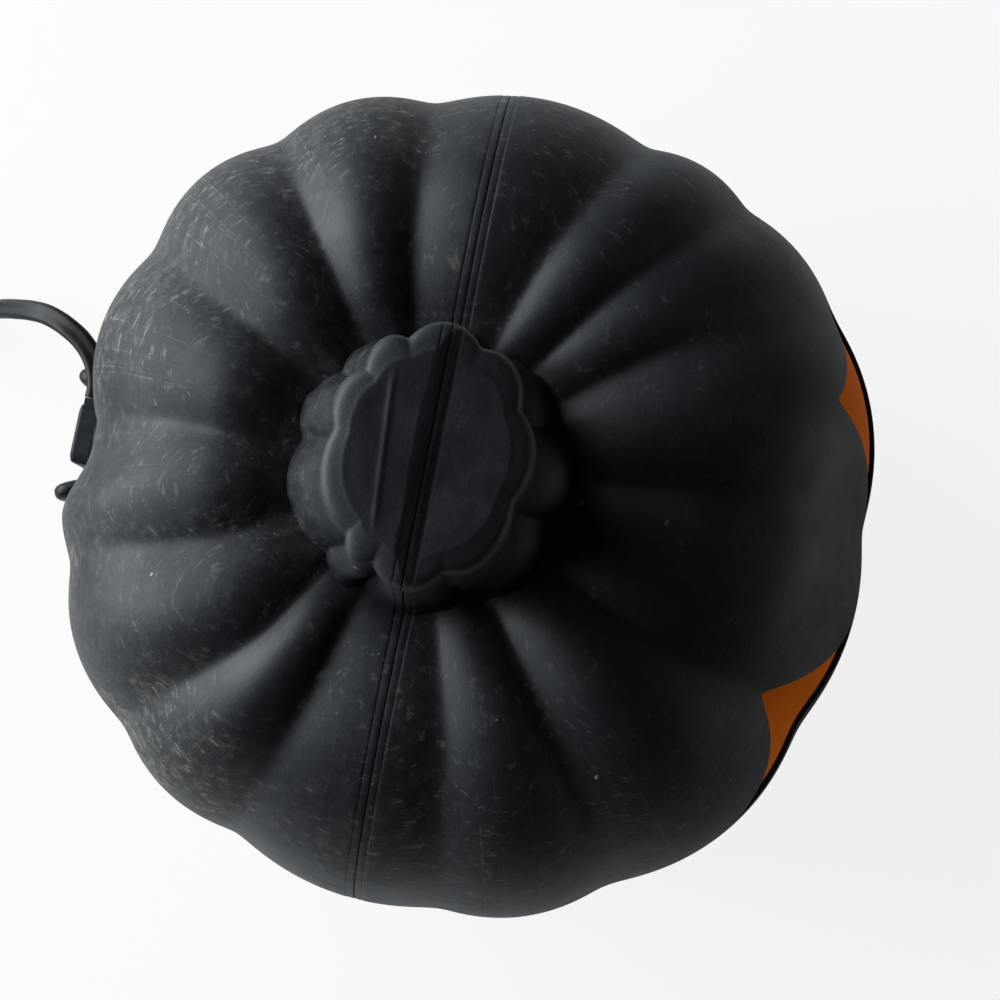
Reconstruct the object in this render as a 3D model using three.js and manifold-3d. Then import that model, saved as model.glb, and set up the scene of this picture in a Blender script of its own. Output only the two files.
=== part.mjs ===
// A light-up jack-o-lantern: a ribbed plastic pumpkin in two half shells with a cut-out face, an orange
// liner behind the face, and a small lamp on a flat cord that snaps into a hole in the back.
// Millimetres, +Z up, the face towards -Y. The origin is on the table, under the middle of the body.

import * as THREE from 'three';
import { mergeVertices } from 'three/addons/utils/BufferGeometryUtils.js';
import Module from 'manifold-3d';

const wasm = await Module();
wasm.setup();

// Clearances
const GAP = 0.3;

// Body: the stem axis stands a little off the middle of the body
const AXIS_X = -0.4;
const AXIS_Y = 3.5;
const BODY_RADIUS = 107;
const WIDEST_HEIGHT = 82;
const SHOULDER_RISE = 71.5;
const WALL = 2;
const RIB_ROUNDNESS = 0.62;

// Valleys between the ribs: direction in degrees from +X, radius as a share of BODY_RADIUS, how far the rib
// after it stands out, and how many degrees the valley turns on its way up to the stem
const RIBS = [
  [-54.9, 1.024, 1.3, 4], [-36.7, 0.994, 1.7, 3], [-20.2, 0.959, 2, 5], [11.7, 0.927, 2.5, 5.5],
  [36.3, 0.918, 2.6, 2.5], [61.4, 0.889, 2.4, 2], [89.6, 0.831, 2.3, 1.5], [112.3, 0.884, 2.2, 6],
  [137.5, 0.917, 2.1, 7], [160.2, 0.921, 1.5, 1.5], [190.3, 0.963, 2.3, 2], [213.8, 0.99, 3.2, 1],
  [248.3, 1.001, 1.4, -6], [275.5, 0.997, 2.1, 0.5],
];
const TURN_FROM_SHARE = 0.97;
const TURN_TO_SHARE = 0.45;

// Valley line of the body from the foot to the stem: share of the radius, level (-1 the table, 0 the widest
// height, 1 the shoulder) and how high the ribs stand there against the widest height
const BODY_PROFILE = [
  [0.52, -1, 0], [0.68, -0.94, 0.5], [0.83, -0.77, 0.8], [0.945, -0.46, 0.95], [1, 0, 1], [0.975, 0.36, 1.25],
  [0.9, 0.66, 1.5], [0.77, 0.87, 1.6], [0.6, 0.985, 1.6], [0.44, 1, 1.3],
];
const ROOT_LEVEL = 0.96;
const ROOT_RELIEF = 0.4;
const ROUND_FROM_SHARE = 0.62;

// Stem: radius of its valley line, height above its root and height of its lobes
const STEM_ROOT_RADIUS = 29.8;
const STEM_PROFILE = [
  [29.8, 0, 2.4], [27.4, 5, 3.5], [24.8, 14, 3.2], [23.2, 26, 2.8], [23, 36, 2.6], [23.6, 41, 2.4],
  [22.6, 44, 1.8], [19, 45.2, 0.8],
];
const STEM_VALLEYS = [25, 53, 86, 139, 160.5, 204, 256, 300, 340];
const STEM_OVAL_HEIGHT = 20;
const STEM_OFFSET_X = -1.2;
const STEM_OFFSET_Y = 1.6;
const STEM_WIDER = 0.08;
const STEM_NARROWER = 0.15;

// Foot and seam
const SEAM_Y = 5;
const RECESS_RADIUS = 40;
const RECESS_DEPTH = 4;
const RECESS_TAPER = 2;
const SEAM_WIDTH = 4;
const SEAM_DEPTH = 0.7;
const TONGUE_LENGTH = 3;

// Face, in front view: x from the middle, z from the table
const EYE_INNER = [13, 110];
const EYE_OUTER = [66, 111.5];
const EYE_APEX = [35, 139];
const NOSE_HALF_WIDTH = 9;
const NOSE_BASE = 82;
const NOSE_TOP = 99;
const MOUTH_HALF_WIDTH = 50;
const MOUTH_CORNER = 66;
const MOUTH_TOP = 48;
const MOUTH_BOTTOM = 26;
const UPPER_TEETH_X = 19;
const TOOTH_WIDTH = 9;
const TOOTH_HEIGHT = 9;

// Liner behind the face, and the studs and washers that hold it
const LINER_GAP = 0.8;
const LINER_STAND_OFF = 3.2;
const LINER_NEAR_ABOVE = 122;
const LINER_OFF_BELOW = 98;
const LINER_THICKNESS = 0.8;
const LINER_HALF_WIDTH = 68;
const LINER_BOTTOM = 16;
const LINER_TOP = 145;
const LINER_CORNER = 14;
const STUD_RADIUS = 1.6;
const STUDS = [[0, 122], [37, 86], [-36, 86], [28, 33], [-28, 33]];
const WASHER_RADIUS = 4.5;
const WASHER_THICKNESS = 1.2;
const STUD_TIP = 1.2;
const STUD_START = 16;

// Seat for the lamp in the back
const SEAT_DISTANCE = 90.2;
const SEAT_RADIUS = 29;
const LAMP_HEIGHT = 60;
const HOLE_RADIUS = 16.1;

// Lamp holder, along its own axis from the seat: y outwards
const FLANGE_RADIUS = 18.5;
const FLANGE_THICKNESS = 2.2;
const SPIGOT_LENGTH = 2.6;
const SPIGOT_WALL = 1.8;
const SOCKET_RADIUS = 9;
const SOCKET_LENGTH = 30;
const SOCKET_FLOOR = 8;
const ARM_WIDTH = 11;
const ARM_THICKNESS = 1.6;
const ARM_INNER_X = 12.3;
const BARB_REACH = 3.5;
const BARB_LENGTH = 10;
const TAB_REACH = 9;
const TAB_FLARE = 5;
const CAP_HALF_WIDTH = 8;
const CAP_HEIGHT = 22;
const CAP_DEPTH = 6;
const CORD_OUTLET_Z = 8.4;
const OUTLET_LIP = 1.5;

// Candelabra screw socket and bulb
const THREAD_RADIUS = 5.95;
const SHEET = 0.5;
const CONTACT_WIDTH = 3;
const BULB_BASE_LENGTH = 11.6;
const BULB_RADIUS = 11;
const BULB_LENGTH = 55;
const GLASS_WALL = 0.8;
const WIRE_RADIUS = 0.25;

// Flat twin cord
const CORD_WIDTH = 5.6;
const CORD_THICKNESS = 2.8;
const CORD_SIDES = 8;
const LEAD_STEPS = 26;
const LEAD_ROUTE = [
  [9.4, 99.5, 68.4], [12.6, 99.5, 68.4], [18.9, 101.7, 68.4], [23.7, 105.8, 68.1], [27.1, 111.2, 67.2],
  [29.4, 117.1, 65], [30.3, 122.5, 61.2], [30.7, 127.7, 55.8], [31.1, 132.9, 48.9], [31.4, 138, 40.9],
  [31.7, 143, 32.7], [32.1, 148.5, 24.4], [32.5, 155, 16.6], [32.9, 162.5, 10.4], [33.3, 170.5, 6.9],
  [33.5, 176, 6.1], [33.6, 181, 6],
];

// Coil of the cord behind the object, wound flat in four layers
const COIL_RADIUS = 37;
const COIL_TURNS = 8.5;
const COIL_LAYERS = 4;
const COIL_STEPS = 24;
const COIL_SIDES = 6;
const COIL_PITCH = 6.1;
const COIL_LAYER_RISE = 3.3;
const COIL_BOTTOM = 1.9;
const COIL_LEAD_IN = 22;
const COIL_LEAD_OUT = 30;
const COIL_STRAIGHT_STEPS = 5;

// In-line switch, lying on the table
const SWITCH_LENGTH = 58;
const SWITCH_WIDTH = 22;
const SWITCH_END_WIDTH = 11;
const SWITCH_HEIGHT = 12;
const WHEEL_RADIUS = 9.5;
const WHEEL_THICKNESS = 4.4;
const WHEEL_OFFSET = 4.6;
const WHEEL_NOTCHES = 24;
const NOTCH_DEPTH = 0.5;
const RIVET_RADIUS = 1.4;
const RIVET_HEAD = 2.8;
const RIVET_HEAD_THICKNESS = 0.9;
const STRIP_HALF_HEIGHT = 2;

// Contact strips beside the wheel, in plan: x0, y0, x1, y1
const STRIPS = [[-7.6, -8, -6.8, 8], [-2, 12, 6, 12.8]];

// Plug with two blades
const PLUG_LENGTH = 31;
const PLUG_WIDTH = 22;
const PLUG_NECK = 9;
const PLUG_THICKNESS = 12;
const PLUG_BEVEL = 1.5;
const BLADE_SPACING = 12.7;
const BLADE_THICKNESS = 1.5;
const BLADE_LENGTH = 16;
const BLADE_DEPTH = 5;
const WIDE_BLADE = 7.9;
const NARROW_BLADE = 6.35;
const BLADE_HOLE = 1.5;

// Materials
const plastic = (color, roughness) => new THREE.MeshStandardMaterial({ color, roughness, metalness: 0 });
const metal = (color, roughness) => new THREE.MeshStandardMaterial({ color, roughness, metalness: 1 });
const blackShell = plastic(0x1b1c20, 0.6);
const orangeSheet = plastic(0xc05a08, 0.35);
const blackMoulding = plastic(0x141416, 0.45);
const greyMoulding = plastic(0x4a4b4e, 0.5);
const brass = metal(0xb8914a, 0.35);
const steel = metal(0xb9bcc0, 0.3);
const clearGlass = plastic(0xe9eef0, 0.05);
const darkGlass = plastic(0x18181c, 0.15);
const solder = metal(0x9a9da1, 0.4);

const model = new THREE.Group();

function addPiece(name, geometry, material, parent = model) {
  const mesh = new THREE.Mesh(geometry, material);
  mesh.name = name;
  parent.add(mesh);
  return mesh;
}

// A closed geometry becomes a solid with its faces outwards
function toSolid(geometry) {
  const bare = geometry.clone();
  bare.deleteAttribute('normal');
  bare.deleteAttribute('uv');
  const merged = mergeVertices(bare, 1e-4);
  const points = merged.attributes.position;
  const corners = [];
  let volume = 0;
  const [a, b, c] = [new THREE.Vector3(), new THREE.Vector3(), new THREE.Vector3()];
  for (let i = 0; i < merged.index.count; i += 3) {
    const [p, q, r] = [0, 1, 2].map((k) => merged.index.getX(i + k));
    if (p === q || q === r || r === p) continue;
    corners.push(p, q, r);
    a.fromBufferAttribute(points, p);
    b.fromBufferAttribute(points, q);
    c.fromBufferAttribute(points, r);
    volume += a.dot(b.cross(c));
  }
  if (volume < 0) corners.reverse();
  return new wasm.Manifold(new wasm.Mesh({
    numProp: 3,
    vertProperties: new Float32Array(points.array),
    triVerts: new Uint32Array(corners),
  }));
}

function toGeometry(solid) {
  const mesh = solid.getMesh();
  const geometry = new THREE.BufferGeometry();
  geometry.setAttribute('position', new THREE.BufferAttribute(new Float32Array(mesh.vertProperties), 3));
  geometry.setIndex(new THREE.BufferAttribute(new Uint32Array(mesh.triVerts), 1));
  geometry.computeVertexNormals();
  return geometry;
}

// A box between two corners
function block([x0, y0, z0], [x1, y1, z1]) {
  const box = new THREE.BoxGeometry(x1 - x0, y1 - y0, z1 - z0);
  return toSolid(box.translate((x0 + x1) / 2, (y0 + y1) / 2, (z0 + z1) / 2));
}

// A profile of [radius, y] turned about the Y axis
function turned(profile, segments = 24) {
  const points = [...profile, profile[0]].map(([radius, y]) => new THREE.Vector2(radius, y));
  return toSolid(new THREE.LatheGeometry(points, segments));
}

// A cylinder along Z
function pillar(radius, z0, z1, x, y, segments = 16) {
  const cylinder = new THREE.CylinderGeometry(radius, radius, z1 - z0, segments);
  return toSolid(cylinder.rotateX(Math.PI / 2).translate(x, y, (z0 + z1) / 2));
}

// A flat shape in front view (x, z) pushed along Y from y0 to y1
function prismAlongY(shape, y0, y1, curveSegments = 10) {
  const prism = new THREE.ExtrudeGeometry(shape, { depth: y1 - y0, bevelEnabled: false, curveSegments });
  return toSolid(prism.rotateX(Math.PI / 2).translate(0, y1, 0));
}

// A flat shape in plan (x, y) raised from z0 to z1
function prismAlongZ(shape, z0, z1, curveSegments = 6) {
  const prism = new THREE.ExtrudeGeometry(shape, { depth: z1 - z0, bevelEnabled: false, curveSegments });
  return toSolid(prism.translate(0, 0, z0));
}

const polygon = (points) => new THREE.Shape(points.map(([x, y]) => new THREE.Vector2(x, y)));

// Share of the way from one angle to the next in a closed list of angles, and the two it lies between
function betweenAngles(angles, angle) {
  const turn = (value) => ((value % 360) + 360) % 360;
  for (let i = 0; i < angles.length; i += 1) {
    const next = (i + 1) % angles.length;
    const width = turn(angles[next] - angles[i]);
    const past = turn(angle - angles[i]);
    if (past < width) return { i, next, width, share: past / width };
  }
  throw new Error('angle outside the list');
}

const ribAngles = RIBS.map(([angle]) => angle);
const swell = (share) => Math.sin(Math.PI * share) ** RIB_ROUNDNESS;
const mix = THREE.MathUtils.lerp;

// Valley radius, rib height and turn towards the stem at one direction
function ribAt(angle) {
  const { i, next, share } = betweenAngles(ribAngles, angle);
  const radius = BODY_RADIUS * mix(RIBS[i][1], RIBS[next][1], share);
  const height = RIBS[i][2] * swell(share);
  const turn = mix(RIBS[i][3], RIBS[next][3], share);
  return { radius, height, turn };
}

const lobeAt = (angle) => swell(betweenAngles(STEM_VALLEYS, angle).share);

// Directions at which the body is drawn: every valley, and even steps across each rib
function directions(step) {
  const list = [];
  ribAngles.forEach((start) => {
    const { width } = betweenAngles(ribAngles, start);
    const count = Math.max(3, Math.round(width / step));
    for (let k = 0; k < count; k += 1) list.push(start + (width * k) / count);
  });
  return list;
}

const heightAtLevel = (level) => (level < 0 ? WIDEST_HEIGHT * (1 + level) : WIDEST_HEIGHT + SHOULDER_RISE * level);
const rootHeight = heightAtLevel(ROOT_LEVEL);

// Stations up the body and the stem, each with a radius for any direction
function stations(bodyRows, stemRows) {
  const rootShare = STEM_ROOT_RADIUS / BODY_RADIUS;
  const body = [...BODY_PROFILE, [rootShare, ROOT_LEVEL, ROOT_RELIEF]];
  const bodyCurve = new THREE.CatmullRomCurve3(
    body.map(([share, level, relief]) => new THREE.Vector3(share, heightAtLevel(level), relief)),
    false, 'catmullrom', 0.5,
  );
  const list = [];
  const lastSpan = (body.length - 2) / (body.length - 1);
  for (let k = 0; k < bodyRows; k += 1) {
    const point = bodyCurve.getPoint(k / bodyRows);
    const round = THREE.MathUtils.smoothstep(-point.x, -ROUND_FROM_SHARE, -rootShare);
    const lobes = STEM_PROFILE[0][2] * (Math.max(0, k / bodyRows - lastSpan) / (1 - lastSpan)) ** 2;
    list.push({
      radiusAt: (radius) => point.x * mix(radius, BODY_RADIUS, round),
      height: Math.max(0, point.y),
      ribs: Math.max(0, point.z),
      turned: THREE.MathUtils.smoothstep(-point.x, -TURN_FROM_SHARE, -TURN_TO_SHARE),
      lobes,
      round,
      oval: 0,
    });
  }
  const stemCurve = new THREE.CatmullRomCurve3(
    STEM_PROFILE.map(([radius, rise, lobe]) => new THREE.Vector3(radius, rise, lobe)),
    false, 'catmullrom', 0.5,
  );
  for (let k = 0; k <= stemRows; k += 1) {
    const point = stemCurve.getPoint(k / stemRows);
    list.push({
      radiusAt: () => point.x,
      height: rootHeight + point.y,
      ribs: k === 0 ? ROOT_RELIEF : 0,
      turned: 1,
      lobes: point.z,
      round: 1,
      oval: THREE.MathUtils.smoothstep(point.y, 0, STEM_OVAL_HEIGHT),
    });
  }
  return list;
}

// The outward direction at a station in its (radius, height) plane, long enough to keep a wall's thickness
// round a corner
function mitre(list, k, radius) {
  const normal = (from, to) => {
    const run = to.radiusAt(radius) - from.radiusAt(radius);
    const rise = to.height - from.height;
    return new THREE.Vector2(rise, -run).normalize();
  };
  const below = normal(list[Math.max(0, k - 1)], list[Math.max(1, k)]);
  const above = normal(list[Math.min(list.length - 2, k)], list[Math.min(list.length - 1, k + 1)]);
  return below.clone().add(above).divideScalar(1 + below.dot(above));
}

// One point of the body's surface, moved outwards by an offset, with its ribs and lobes or without
function surfacePoint(list, k, angle, offset, { ribs = 1, lobes = 1, standOff = 0 } = {}) {
  const { radius, height, turn: stemTurn } = ribAt(angle);
  const here = list[k];
  const bearing = angle + stemTurn * here.turned;
  const direction = mitre(list, k, radius);
  const low = 1 - THREE.MathUtils.smoothstep(here.height, LINER_OFF_BELOW, LINER_NEAR_ABOVE);
  const out = offset - standOff * low + ribs * here.ribs * height;
  const reach = here.radiusAt(radius) + out * direction.x + lobes * here.lobes * lobeAt(bearing);
  const turn = THREE.MathUtils.degToRad(bearing);
  return new THREE.Vector3(
    AXIS_X + STEM_OFFSET_X * here.oval + reach * Math.cos(turn) * (1 + STEM_WIDER * here.oval),
    AXIS_Y + STEM_OFFSET_Y * here.round + reach * Math.sin(turn) * (1 - STEM_NARROWER * here.oval),
    here.height + out * direction.y,
  );
}

// The whole outside of the body and stem as one closed solid, at an offset from its real surface
function bodySolid(offset, { step, bodyRows, stemRows, ...relief }) {
  const list = stations(bodyRows, stemRows);
  const angles = directions(step);
  const positions = [];
  list.forEach((_, k) => angles.forEach((angle) => {
    const point = surfacePoint(list, k, angle, offset, relief);
    positions.push(point.x, point.y, Math.max(point.z, -offset));
  }));
  const columns = angles.length;
  const foot = positions.length / 3;
  positions.push(AXIS_X, AXIS_Y, -offset);
  positions.push(AXIS_X + STEM_OFFSET_X, AXIS_Y + STEM_OFFSET_Y, list.at(-1).height + offset);
  const index = [];
  const last = (list.length - 1) * columns;
  for (let j = 0; j < columns; j += 1) {
    const next = (j + 1) % columns;
    index.push(foot, next, j, foot + 1, last + j, last + next);
    for (let k = 0; k < list.length - 1; k += 1) {
      const [a, b] = [k * columns + j, k * columns + next];
      index.push(a, b, b + columns, a, b + columns, a + columns);
    }
  }
  const geometry = new THREE.BufferGeometry();
  geometry.setAttribute('position', new THREE.Float32BufferAttribute(positions, 3));
  geometry.setIndex(index);
  return toSolid(geometry);
}

const FINE = { step: 5.8, bodyRows: 16, stemRows: 7 };
const COARSE = { step: 9, bodyRows: 12, stemRows: 4, lobes: 0.4 };
const LINER_GRID = { ...COARSE, lobes: 0, standOff: LINER_STAND_OFF };

// Everything beyond these planes is outside the body
const REACH = 2 * BODY_RADIUS;
const slab = (y0, y1) => block([-REACH, SEAM_Y + y0, -REACH], [REACH, SEAM_Y + y1, 2 * REACH]);

// The moulded foot recess, and the same grown by the wall for the inside
function recess(grown) {
  const radius = RECESS_RADIUS + grown;
  const top = RECESS_DEPTH + grown;
  const profile = [[0, -1], [radius, -1], [radius - RECESS_TAPER, top], [0, top]];
  return turned(profile, 36).rotate([90, 0, 0]).translate([AXIS_X, AXIS_Y, 0]);
}

// The flat back: a drum that fills the valley under the lamp, and a cut that takes off what stands proud
const seatY = AXIS_Y + SEAT_DISTANCE;
const drum = (radius, y0, y1) => turned([[0, y0], [radius, y0], [radius, y1], [0, y1]], 36)
  .translate([AXIS_X, 0, LAMP_HEIGHT]);
const seatRoot = seatY - SEAT_RADIUS;

function withSeat(solid, inset) {
  return solid
    .add(drum(SEAT_RADIUS - inset, seatRoot, seatY - inset))
    .subtract(slab(seatY - SEAM_Y - inset, REACH));
}

const outside = withSeat(bodySolid(0, FINE).subtract(recess(0)), 0);
const inside = withSeat(bodySolid(-WALL, COARSE).subtract(recess(WALL)), WALL);

// The two lapped layers at the seam: a tongue on the front half and its rebate in the rear half
const tongueSolid = bodySolid(-WALL / 2 - GAP / 2, FINE).subtract(recess(WALL / 2 + GAP / 2));
const rebateSolid = bodySolid(-WALL / 2 + GAP / 2, FINE).subtract(recess(WALL / 2 - GAP / 2));
const grooveFloor = bodySolid(-SEAM_DEPTH, FINE);
const groove = slab(-SEAM_WIDTH / 2, SEAM_WIDTH / 2).subtract(grooveFloor)
  .subtract(block([-REACH, -REACH, -REACH], [REACH, REACH, WALL]));

// Face openings
const eyeShape = (side) => polygon([EYE_INNER, EYE_OUTER, EYE_APEX].map(([x, z]) => [side * x, z]));
const noseShape = polygon([[-NOSE_HALF_WIDTH, NOSE_BASE], [NOSE_HALF_WIDTH, NOSE_BASE], [0, NOSE_TOP]]);

// The grin: two arcs through the corners, less three square teeth
function mouthPrism(y0, y1) {
  const shape = new THREE.Shape();
  const arc = (lowest) => {
    const sag = MOUTH_CORNER - lowest;
    return (MOUTH_HALF_WIDTH ** 2 + sag ** 2) / (2 * sag);
  };
  const [upper, lower] = [arc(MOUTH_TOP), arc(MOUTH_BOTTOM)];
  const lean = (radius) => Math.asin(MOUTH_HALF_WIDTH / radius);
  shape.absarc(0, MOUTH_BOTTOM + lower, lower, -Math.PI / 2 - lean(lower), -Math.PI / 2 + lean(lower), false);
  shape.absarc(0, MOUTH_TOP + upper, upper, -Math.PI / 2 + lean(upper), -Math.PI / 2 - lean(upper), true);
  const half = TOOTH_WIDTH / 2;
  const tooth = (x, z0, z1) => block([x - half, y0, z0], [x + half, y1, z1]);
  const upperEdge = MOUTH_TOP + upper - Math.sqrt(upper ** 2 - UPPER_TEETH_X ** 2);
  return prismAlongY(shape, y0, y1)
    .subtract(tooth(0, MOUTH_BOTTOM - TOOTH_HEIGHT, MOUTH_BOTTOM + TOOTH_HEIGHT))
    .subtract(tooth(UPPER_TEETH_X, upperEdge - TOOTH_HEIGHT, upperEdge + TOOTH_HEIGHT))
    .subtract(tooth(-UPPER_TEETH_X, upperEdge - TOOTH_HEIGHT, upperEdge + TOOTH_HEIGHT));
}

const faceFront = -REACH;
const faceBack = -BODY_RADIUS / 4;
const face = prismAlongY(eyeShape(1), faceFront, faceBack)
  .add(prismAlongY(eyeShape(-1), faceFront, faceBack))
  .add(prismAlongY(noseShape, faceFront, faceBack))
  .add(mouthPrism(faceFront, faceBack));

// The middle of the liner's facet at a stud's bearing and height, and the direction inwards from it
function studPlace([bearing, height]) {
  const list = stations(LINER_GRID.bodyRows, LINER_GRID.stemRows);
  const angles = directions(LINER_GRID.step);
  const angle = ribAngles[0] + (bearing - 90 - ribAngles[0] + 360) % 360;
  const j = Math.max(0, angles.findIndex((next) => next > angle));
  const k = list.findIndex((station) => station.height > height);
  const corner = (row, column) => surfacePoint(list, row, angles.at(column), -linerBack, LINER_GRID);
  const [a, b, c, d] = [corner(k - 1, j - 1), corner(k - 1, j), corner(k, j), corner(k, j - 1)];
  const point = a.clone().add(b).add(c).add(d).divideScalar(4);
  const inward = d.sub(b).cross(c.sub(a)).normalize();
  return { point, inward };
}

// A solid turned about Y stands on a point with its +Y along a direction
function standAt(geometry, point, direction) {
  const turn = new THREE.Quaternion().setFromUnitVectors(new THREE.Vector3(0, 1, 0), direction);
  return geometry.applyQuaternion(turn).translate(point.x, point.y, point.z);
}

const linerFace = WALL + LINER_GAP;
const linerBack = linerFace + LINER_THICKNESS;
const studEnd = GAP + WASHER_THICKNESS + STUD_TIP;

// A round rod along a stud's axis, measured inwards from the liner's back
function studRod(place, radius, from, to) {
  const rod = new THREE.CylinderGeometry(radius, radius, to - from, 12).translate(0, (from + to) / 2, 0);
  return toSolid(standAt(rod, place.point, place.inward));
}

function buildShells() {
  const hollow = outside.subtract(inside).subtract(groove);
  const half = GAP / 2;
  let front = hollow.intersect(slab(-REACH, -half));
  const tongue = tongueSolid.subtract(inside).intersect(slab(-half - 0.5, TONGUE_LENGTH));
  front = front.add(tongue).subtract(face);
  STUDS.map(studPlace).forEach((place) => {
    front = front.add(studRod(place, STUD_RADIUS, -STUD_START, studEnd).intersect(tongueSolid));
  });
  addPiece('front_shell', toGeometry(front), blackShell);

  const rebate = slab(-REACH, TONGUE_LENGTH + GAP).intersect(rebateSolid);
  const hole = drum(HOLE_RADIUS, seatRoot, seatY + 1);
  const rear = hollow.intersect(slab(half, REACH)).subtract(rebate).subtract(hole);
  addPiece('rear_shell', toGeometry(rear), blackShell);
}

function buildLiner() {
  const outline = new THREE.Shape();
  const [left, right] = [-LINER_HALF_WIDTH, LINER_HALF_WIDTH];
  const corner = LINER_CORNER;
  outline.absarc(right - corner, LINER_BOTTOM + corner, corner, -Math.PI / 2, 0, false);
  outline.absarc(right - corner, LINER_TOP - corner, corner, 0, Math.PI / 2, false);
  outline.absarc(left + corner, LINER_TOP - corner, corner, Math.PI / 2, Math.PI, false);
  outline.absarc(left + corner, LINER_BOTTOM + corner, corner, Math.PI, 1.5 * Math.PI, false);
  let sheet = bodySolid(-linerFace, LINER_GRID).subtract(bodySolid(-linerBack, LINER_GRID))
    .intersect(prismAlongY(outline, faceFront, faceBack, 5));
  const washer = turned([
    [STUD_RADIUS + GAP, 0], [WASHER_RADIUS, 0], [WASHER_RADIUS, WASHER_THICKNESS / 2],
    [STUD_RADIUS + 1, WASHER_THICKNESS], [STUD_RADIUS + GAP, WASHER_THICKNESS],
  ], 12);
  STUDS.map(studPlace).forEach((place, i) => {
    sheet = sheet.subtract(studRod(place, STUD_RADIUS + GAP, -2 * linerBack, studEnd));
    const seat = place.point.clone().addScaledVector(place.inward, GAP);
    addPiece(`liner_washer_${i + 1}`, standAt(toGeometry(washer), seat, place.inward), steel);
  });
  addPiece('face_liner', toGeometry(sheet), orangeSheet);
}

// The lamp's pieces share an axis through the seat, y outwards from the seat's face
const lamp = new THREE.Group();
lamp.position.set(AXIS_X, seatY, LAMP_HEIGHT);
model.add(lamp);

const shellBore = THREAD_RADIUS + GAP;
const shellOuter = shellBore + SHEET;
const socketBore = shellOuter + GAP;
const flangeBack = GAP;
const flangeFace = GAP + FLANGE_THICKNESS;
const floorY = -SOCKET_FLOOR;
const armOuterX = ARM_INNER_X + ARM_THICKNESS;
const shellFloor = floorY - 2 * GAP - SHEET;
const tongueY = shellFloor - SHEET - 1;
const legZ = 3.5;
const footZ = -5.2;

function buildHolder() {
  const spigot = HOLE_RADIUS - GAP;
  const body = turned([
    [0, floorY], [socketBore, floorY], [socketBore, -SOCKET_LENGTH], [SOCKET_RADIUS, -SOCKET_LENGTH],
    [SOCKET_RADIUS, flangeBack], [spigot - SPIGOT_WALL, flangeBack], [spigot - SPIGOT_WALL, -SPIGOT_LENGTH],
    [spigot, -SPIGOT_LENGTH], [spigot, flangeBack], [FLANGE_RADIUS, flangeBack], [FLANGE_RADIUS, flangeFace],
    [0, flangeFace],
  ], 32);
  const notchX = SOCKET_RADIUS + 0.2;
  const notchZ = ARM_WIDTH / 2 + 2 * GAP;
  const notch = (side) => block(
    [Math.min(side * notchX, side * REACH), -SPIGOT_LENGTH - 1, -notchZ],
    [Math.max(side * notchX, side * REACH), flangeFace + 1, notchZ],
  );
  const slotX = CONTACT_WIDTH / 2 + GAP;
  const slot = (z) => block([-slotX, floorY - 1, z - GAP], [slotX, flangeFace + 1, z + SHEET + GAP]);
  const holder = body.subtract(notch(1)).subtract(notch(-1)).subtract(slot(legZ)).subtract(slot(footZ));
  addPiece('lamp_holder', toGeometry(holder), blackMoulding, lamp);
}

// A spring arm: a root on the socket, a straight arm, a barb behind the wall and a flared finger tab
function buildArm(name, side) {
  const rootY = -SOCKET_LENGTH;
  const barbY = -WALL - GAP;
  const inner = ARM_INNER_X;
  const rootX = SOCKET_RADIUS + GAP;
  const tabY = TAB_REACH;
  const outline = [
    [rootX, rootY], [armOuterX, rootY], [armOuterX, barbY - BARB_LENGTH], [armOuterX + BARB_REACH, barbY - 1],
    [armOuterX + BARB_REACH, barbY], [armOuterX, barbY], [armOuterX, flangeFace],
    [armOuterX + 0.35 * TAB_FLARE, flangeFace + 0.45 * (tabY - flangeFace)],
    [armOuterX + TAB_FLARE, tabY - 0.8], [armOuterX + TAB_FLARE - 0.3, tabY - 0.1],
    [armOuterX + TAB_FLARE - 1.1, tabY], [inner + 0.45 * TAB_FLARE, flangeFace + 0.55 * (tabY - flangeFace)],
    [inner, flangeFace + 0.6], [inner, rootY + 4.5], [inner - 0.6, rootY + 4], [rootX, rootY + 4],
  ];
  const arm = prismAlongZ(polygon(outline.map(([x, y]) => [side * x, y])), -ARM_WIDTH / 2, ARM_WIDTH / 2);
  const corner = new THREE.Shape();
  const half = ARM_WIDTH / 2;
  corner.absarc(half, 0, half, Math.PI / 2, 1.5 * Math.PI, false);
  corner.lineTo(-1, -half - 1);
  corner.lineTo(-1, half + 1);
  // The finger end of the tab is round: both corners come off outside a half circle
  const tip = new THREE.ExtrudeGeometry(corner, { depth: 40, bevelEnabled: false, curveSegments: 6 });
  tip.rotateZ(-Math.PI / 2).rotateY(Math.PI / 2).translate(-20, tabY, 0);
  addPiece(name, toGeometry(arm.subtract(toSolid(tip))), blackMoulding, lamp);
}

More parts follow.
